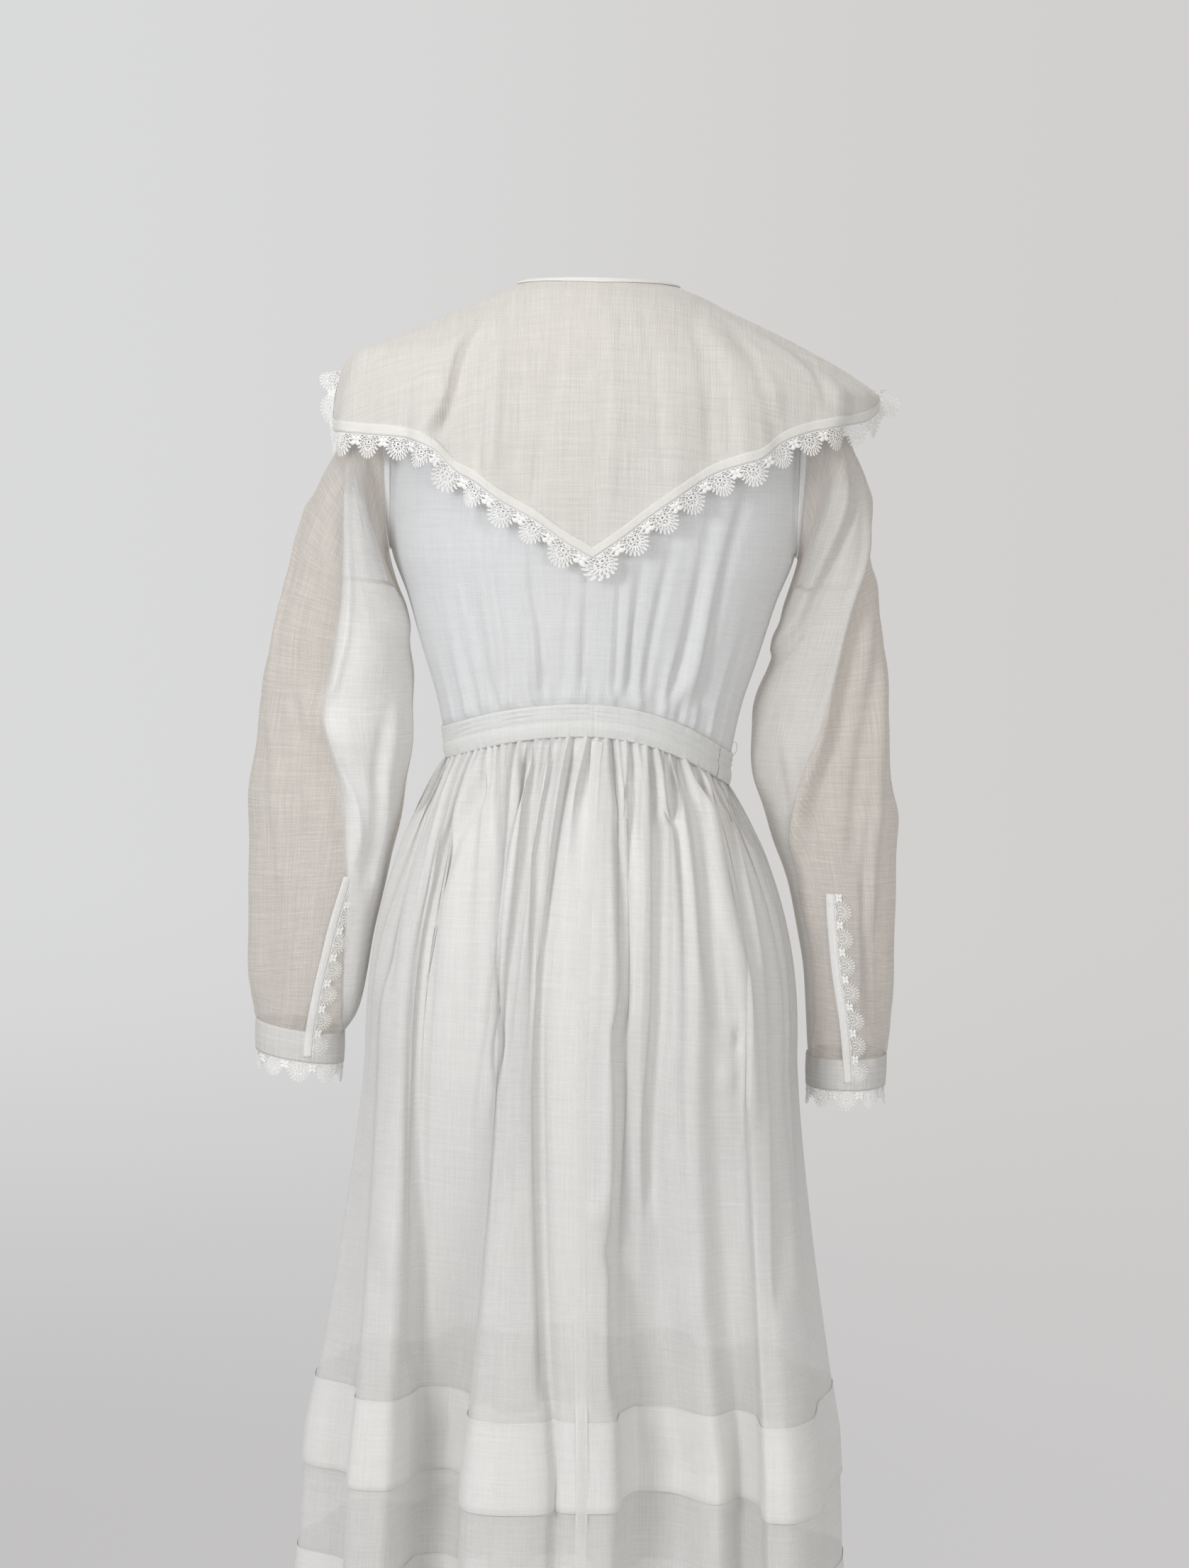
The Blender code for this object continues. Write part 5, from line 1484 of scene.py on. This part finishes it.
def build_skirt():
    finer = 8
    back = skirt(SKIRT_BACK, BACK_COLUMNS, 90, finer, SKIRT_CREASES, SKIRT_DENTS)
    mirrored = tuple(
        (height, plus, minus, tuple((-x * 0.96, z - 0.01) for x, z in points))
        for height, minus, plus, points in SKIRT_CREASES
    )
    front_dents = tuple((-x, z - 0.03, a, b, h) for x, z, a, b, h in SKIRT_DENTS)
    front = skirt(SKIRT_FRONT, FRONT_COLUMNS, -90, finer, mirrored, front_dents)
    middle = skirt_shares(SKIRT_BACK, BACK_COLUMNS)[1][CENTRE_BACK_FOLD] * finer
    back_left, back_right, front_cloth = (
        sheet(f"{node}_cloth", grid, VOILE, "cotton_voile", [node])
        for node, grid in (
            ("skirt_back_left", back[:, : middle + 1]),
            ("skirt_back_right", back[:, middle:]),
            ("skirt_front", front),
        )
    )
    whole = np.concatenate([back[:, :-1], front[:, :-1]], axis=1)
    for node, first in zip(("tuck_upper", "tuck_lower"), TUCK_ROWS):
        build_tuck(node, whole[first : first + BAND_STEPS + 1])
    hem = sheet("skirt_hem", (whole + HEM_LIFT * normals(whole, True))[-2:], DOUBLED,
                "doubled_cotton", around=True)
    # The centre back seam: a narrow felled strip, over the tucks where they cross it
    rows = np.arange(2, len(back))
    lift = np.full((len(rows), 1, 1), SEAM_LIFT)
    for first in TUCK_ROWS:
        lift[(rows >= first - 1) & (rows <= first + BAND_STEPS + 1)] += SEAM_OVER_TUCK
    line, aside, facing = (
        grid[rows, middle] for grid in (back, np.gradient(back, axis=1), normals(back))
    )
    seam = strip("centre_back_seam", line, aside, CENTRE_SEAM_WIDTH, facing, lift, SEAM_CLOTH,
                 CENTRE_SEAM_CROWN, 7)


def build_neck_binding(grid, facing):
    """A narrow doubled band along the collar's neck edge, with its stitches."""
    length = run_along(grid[:, grid.shape[1] // 2])
    share = np.linspace(0, 1, 7)
    rows = np.interp(NECK_BINDING_WIDTH * share, length, np.arange(grid.shape[0]))
    low = np.floor(rows).astype(int)
    part = (rows - low)[:, None, None]
    band = grid[low] * (1 - part) + grid[low + 1] * part
    bulge = (0.0006 + 0.0006 * np.sin(math.pi * share))[:, None, None]
    binding = sheet("neck_binding", band + facing[low] * bulge, CREAM_HEM, "doubled_cotton",
                    thickness=0.0007)
    return binding, stitches("neck_binding_stitches", band[5], facing[low[5]], 0.0011)


def lace_directions(grid, directions):
    """Which way the collar's lace points: square to its edge, with a flare at the shoulders."""
    ahead = unit(np.gradient(grid[-1], axis=0))
    found = unit(grid[-1] - grid[-2])
    found = unit(found - (found * ahead).sum(axis=1)[:, None] * ahead)
    for _ in range(9):
        found[1:-1] = (found[:-2] + 2 * found[1:-1] + found[2:]) / 4
    flare_left, flare_right = (
        bump(directions - place, LACE_FLARE_HALF_ANGLE)
        for place in (LACE_FLARE_LEFT, LACE_FLARE_RIGHT)
    )
    flare = LACE_FLARE_OUT * (flare_left - flare_right)
    return unit(found) + stacked(flare, 0.0, LACE_FLARE_UP * np.abs(flare))


def build_collar():
    columns, rows = ((540, 44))
    directions = collar_degrees(columns)
    grid = collar_grid(directions, rows)
    facing = normals(grid)
    # The collar is cut on the straight grain: its threads run level and up and down
    straight = np.stack([grid[..., 0], grid[..., 2] - 0.6 * np.abs(grid[..., 1])], axis=-1)
    collar = sheet("collar_cloth", grid, COLLAR_CLOTH, "collar_cotton", ["collar"],
                   threads=straight)
    hem_points = grid[rows - 1 :] + facing[rows - 1 :] * HEM_LIFT
    hem = sheet("collar_hem_cloth", hem_points, CREAM_HEM, "doubled_cotton", ["collar_hem"],
                thickness=0.0004)
    hem_sewn = stitches("collar_hem_stitches", grid[rows], facing[rows], 0.0008,
                        FINE_STITCH_RADIUS)
    binding, neck_sewn = build_neck_binding(grid, facing)
    trim = lace("collar_lace_threads", grid[-1] + facing[-1] * 0.0004,
                lace_directions(grid, directions), LACE_REPEATS, LACE_DEPTH,
                np.array(COLLAR_MIDDLE), ["collar_lace"])


def build_cuff(sleeve):
    """A doubled cuff, with its edging and two rows of stitches."""
    name = f"cuff_{sleeve.word}"
    columns = SLEEVE_COLUMNS * CUFF_FINER
    drops = np.linspace(-0.001, CUFF_HEIGHT, CUFF_ROWS)
    rings = np.stack([sleeve.cuff_ring(columns, drop) for drop in drops])
    middle = rings.mean(axis=1, keepdims=True)
    facing = normals(rings, True, middle)
    share = np.linspace(0, 1, len(drops))[:, None]
    pucker = wander(np.arange(columns), 3.0) * 0.0006 * bump(share, 0.5)
    height = pucker + 0.0006 * bump(share - 0.5, 0.5) + 0.0006
    grid = rings + facing * height[..., None]
    cuff = sheet(f"{name}_cloth", grid, CUFF_CLOTH, "doubled_cotton", [name], True,
                 CUFF_THICKNESS, middle)
    sewn = [
        stitches(f"{name}_stitches_{place}", closed(grid[row]), closed(facing[row]), 0.0007)
        for place, row in CUFF_STITCH_ROWS
    ]
    edge = closed(sleeve.cuff_ring(144, CUFF_HEIGHT))
    down = np.broadcast_to([0.0, 0.0, -1.0], edge.shape)
    trim = lace(f"cuff_lace_{sleeve.word}_threads", edge, down, CUFF_LACE_REPEATS,
                CUFF_LACE_DEPTH, edge.mean(axis=0), [f"cuff_lace_{sleeve.word}"],
                weight=THIN_LACE)
    return cuff, [trim, *sewn]


def build_placket(sleeve):
    """The bound strip of the sleeve's opening with its own edging, and a point behind them."""
    ends = column(sleeve.placket, "height")
    heights = np.linspace(ends[0], ends[-1], 61)
    half = 0.5 * PLACKET_WIDTH
    band = np.stack([
        sleeve.placket_line(heights, part * half, PLACKET_CROWN * (1 - part**2) - PLACKET_SINK)
        for part in np.linspace(-1, 1, 7)
    ])
    behind = band.mean(axis=(0, 1)) - np.array([0.0, 0.1, 0.0])
    bound = sheet(f"placket_{sleeve.word}_cloth", band, DOUBLED, "doubled_cotton",
                  [f"placket_{sleeve.word}"], thickness=PLACKET_THICKNESS, centre=behind)
    near, far = (
        sleeve.placket_line(heights, -sleeve.side * offset, -PLACKET_LACE_SINK)
        for offset in (half, half + 0.01)
    )
    trim = lace(f"placket_lace_{sleeve.word}_threads", near, far - near, PLACKET_LACE_REPEATS,
                PLACKET_LACE_DEPTH, behind, [f"placket_lace_{sleeve.word}"], 0.0009, THIN_LACE)
    return bound, trim, behind


def build_fold(sleeve, grid, finer_rows, behind):
    """The layer that the deep fold lays over the sleeve's inner half, down to its cuff."""
    ends = column(sleeve.fold, "height")
    shares = np.linspace(0, 1, 31)[None, :] ** 1.3
    heights = np.linspace(ends[-1], ends[0], 140)[:, None]
    inner_x = smooth(-column(sleeve.table, "inner_z"), column(sleeve.table, "inner_x"), -heights)
    clear = np.interp(heights, column(ARMHOLE_CLEAR, "height"), column(ARMHOLE_CLEAR, "x"))
    inner_x = np.maximum(inner_x, clear)
    across = read(sleeve.fold, "x", heights) * (1 - shares) + inner_x * shares
    row, angle = sleeve.place(across, heights)
    puff = FOLD_PUFF[sleeve.word] * bump(shares - 0.5, 0.5)
    puff = puff * ease((heights - FOLD_PUFF_LOW_Z) / FOLD_PUFF_RISE)
    puff = puff * ease((FOLD_PUFF_TOP_Z - heights) / FOLD_PUFF_RISE)
    over = off_grid(grid, row * finer_rows, angle, FOLD_LIFT + puff)
    return sheet(f"sleeve_{sleeve.word}_fold", over, sleeve.fold_cloth, "cotton_voile",
                 centre=behind)


def build_sleeve(sleeve):
    finer_rows, finer_columns = ((10, 9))
    grid = sleeve.grid(finer_rows, finer_columns)
    name = f"sleeve_{sleeve.word}"
    cloth = sheet(f"{name}_cloth", grid, SLEEVE_VOILE, "cotton_voile", [name], True,
                  centre=grid.mean(axis=1, keepdims=True))
    cuff, cuff_pieces = build_cuff(sleeve)
    placket, placket_lace, behind = build_placket(sleeve)
    layer = build_fold(sleeve, grid, finer_rows, behind)


# Camera, lamps, floor and surroundings


def build_camera():
    level = np.array([-1.0, 0.0, 0.0])
    ahead = np.array([0.0, -math.cos(CAMERA_PITCH), -math.sin(CAMERA_PITCH)])
    up = np.cross(level, ahead)
    right = level * math.cos(CAMERA_ROLL) + up * math.sin(CAMERA_ROLL)
    over = up * math.cos(CAMERA_ROLL) - level * math.sin(CAMERA_ROLL)
    data = bpy.data.cameras.new("Camera")
    data.sensor_fit = "VERTICAL"
    data.sensor_height = SENSOR_HEIGHT
    data.lens = FOCAL_PIXELS * SENSOR_HEIGHT / IMAGE_HEIGHT
    data.dof.use_dof = False
    data.clip_start = 0.05
    made = add_object("Camera", data)
    aim(made, right, over, ahead, CAMERA_PLACE)
    bpy.context.scene.camera = made


def build_lamps():
    """Soft light from the upper left, beside the camera, and weaker light from other sides."""
    for name, place, target, width, power, colour in LAMPS:
        data = bpy.data.lights.new(name, "AREA")
        data.shape = "DISK"
        data.size = width
        data.energy = power
        data.color = colour
        ahead = unit(np.array(target, float) - np.array(place, float))
        aside = unit(np.cross(ahead, [0.0, 0.0, 1.0]))
        aim(add_object(name, data), aside, np.cross(aside, ahead), ahead, place)


def build_room():
    """A pale surrounding, dimmer by the camera and darker towards the floor.

    Above it is paler on the picture's left, and below on its right.
    """
    world = bpy.data.worlds.new("Studio")
    world.use_nodes = True
    nodes = Nodes(world.node_tree)
    parts = nodes.tree.nodes.new("ShaderNodeSeparateXYZ")
    place = nodes.tree.nodes.new("ShaderNodeTexCoord")
    nodes.fill(parts, Vector=place.outputs["Generated"])

    def blend(axis, start, end, first, second):
        ramp = nodes.tree.nodes.new("ShaderNodeMapRange")
        ramp.interpolation_type = "SMOOTHSTEP"
        factor = nodes.fill(ramp, Value=parts.outputs[axis], From_Min=start, From_Max=end)
        return nodes.blend(factor, first, second)

    upper = blend(0, -0.22, 0.22, (0.64, 0.625, 0.615), (0.70, 0.702, 0.705))
    lower = blend(0, -0.22, 0.22, (0.585, 0.575, 0.575), (0.545, 0.535, 0.54))
    wall = blend(2, -0.34, -0.12, lower, upper)
    room = blend(1, -0.80, 0.10, wall, (0.38, 0.38, 0.385))
    nodes.fill(nodes.tree.nodes["Background"], Color=room, Strength=1.0)
    bpy.context.scene.world = world
    bpy.context.scene.view_settings.view_transform = "Standard"


def build_floor():
    """A round of pale matt board."""
    turn = np.linspace(0, 2 * math.pi, FLOOR_CORNERS, endpoint=False)
    rings = [stacked(radius * np.cos(turn), radius * np.sin(turn), FLOOR_Z)
             for radius in FLOOR_RINGS]
    made = Surface("Pale floor")
    where = made.tree.nodes.new("ShaderNodeTexCoord").outputs["Object"]
    grain = made.noise(where, (9, 9, 9), 4.0)
    colour = made.blend(grain, (0.70, 0.69, 0.68), (0.76, 0.755, 0.75))
    made.principled(Base_Color=colour, Roughness=0.85)
    board = sheet("floor", np.stack(rings), made.material, None, around=True,
                  centre=np.array([0, 0, -2.0]))


def main():
    build_camera()
    build_lamps()
    build_room()
    build_floor()
    build_bodice()
    build_waistband()
    build_thread_loop()
    build_skirt()
    build_collar()
    for sleeve in (
        Sleeve("left", 1, SLEEVE_LEFT, SLEEVE_LEFT_CREASES, PLACKET_LEFT, SLEEVE_LEFT_FOLD,
               FOLDED_LEFT),
        Sleeve("right", -1, SLEEVE_RIGHT, SLEEVE_RIGHT_CREASES, PLACKET_RIGHT, SLEEVE_RIGHT_FOLD,
               FOLDED_RIGHT),
    ):
        build_sleeve(sleeve)


main()
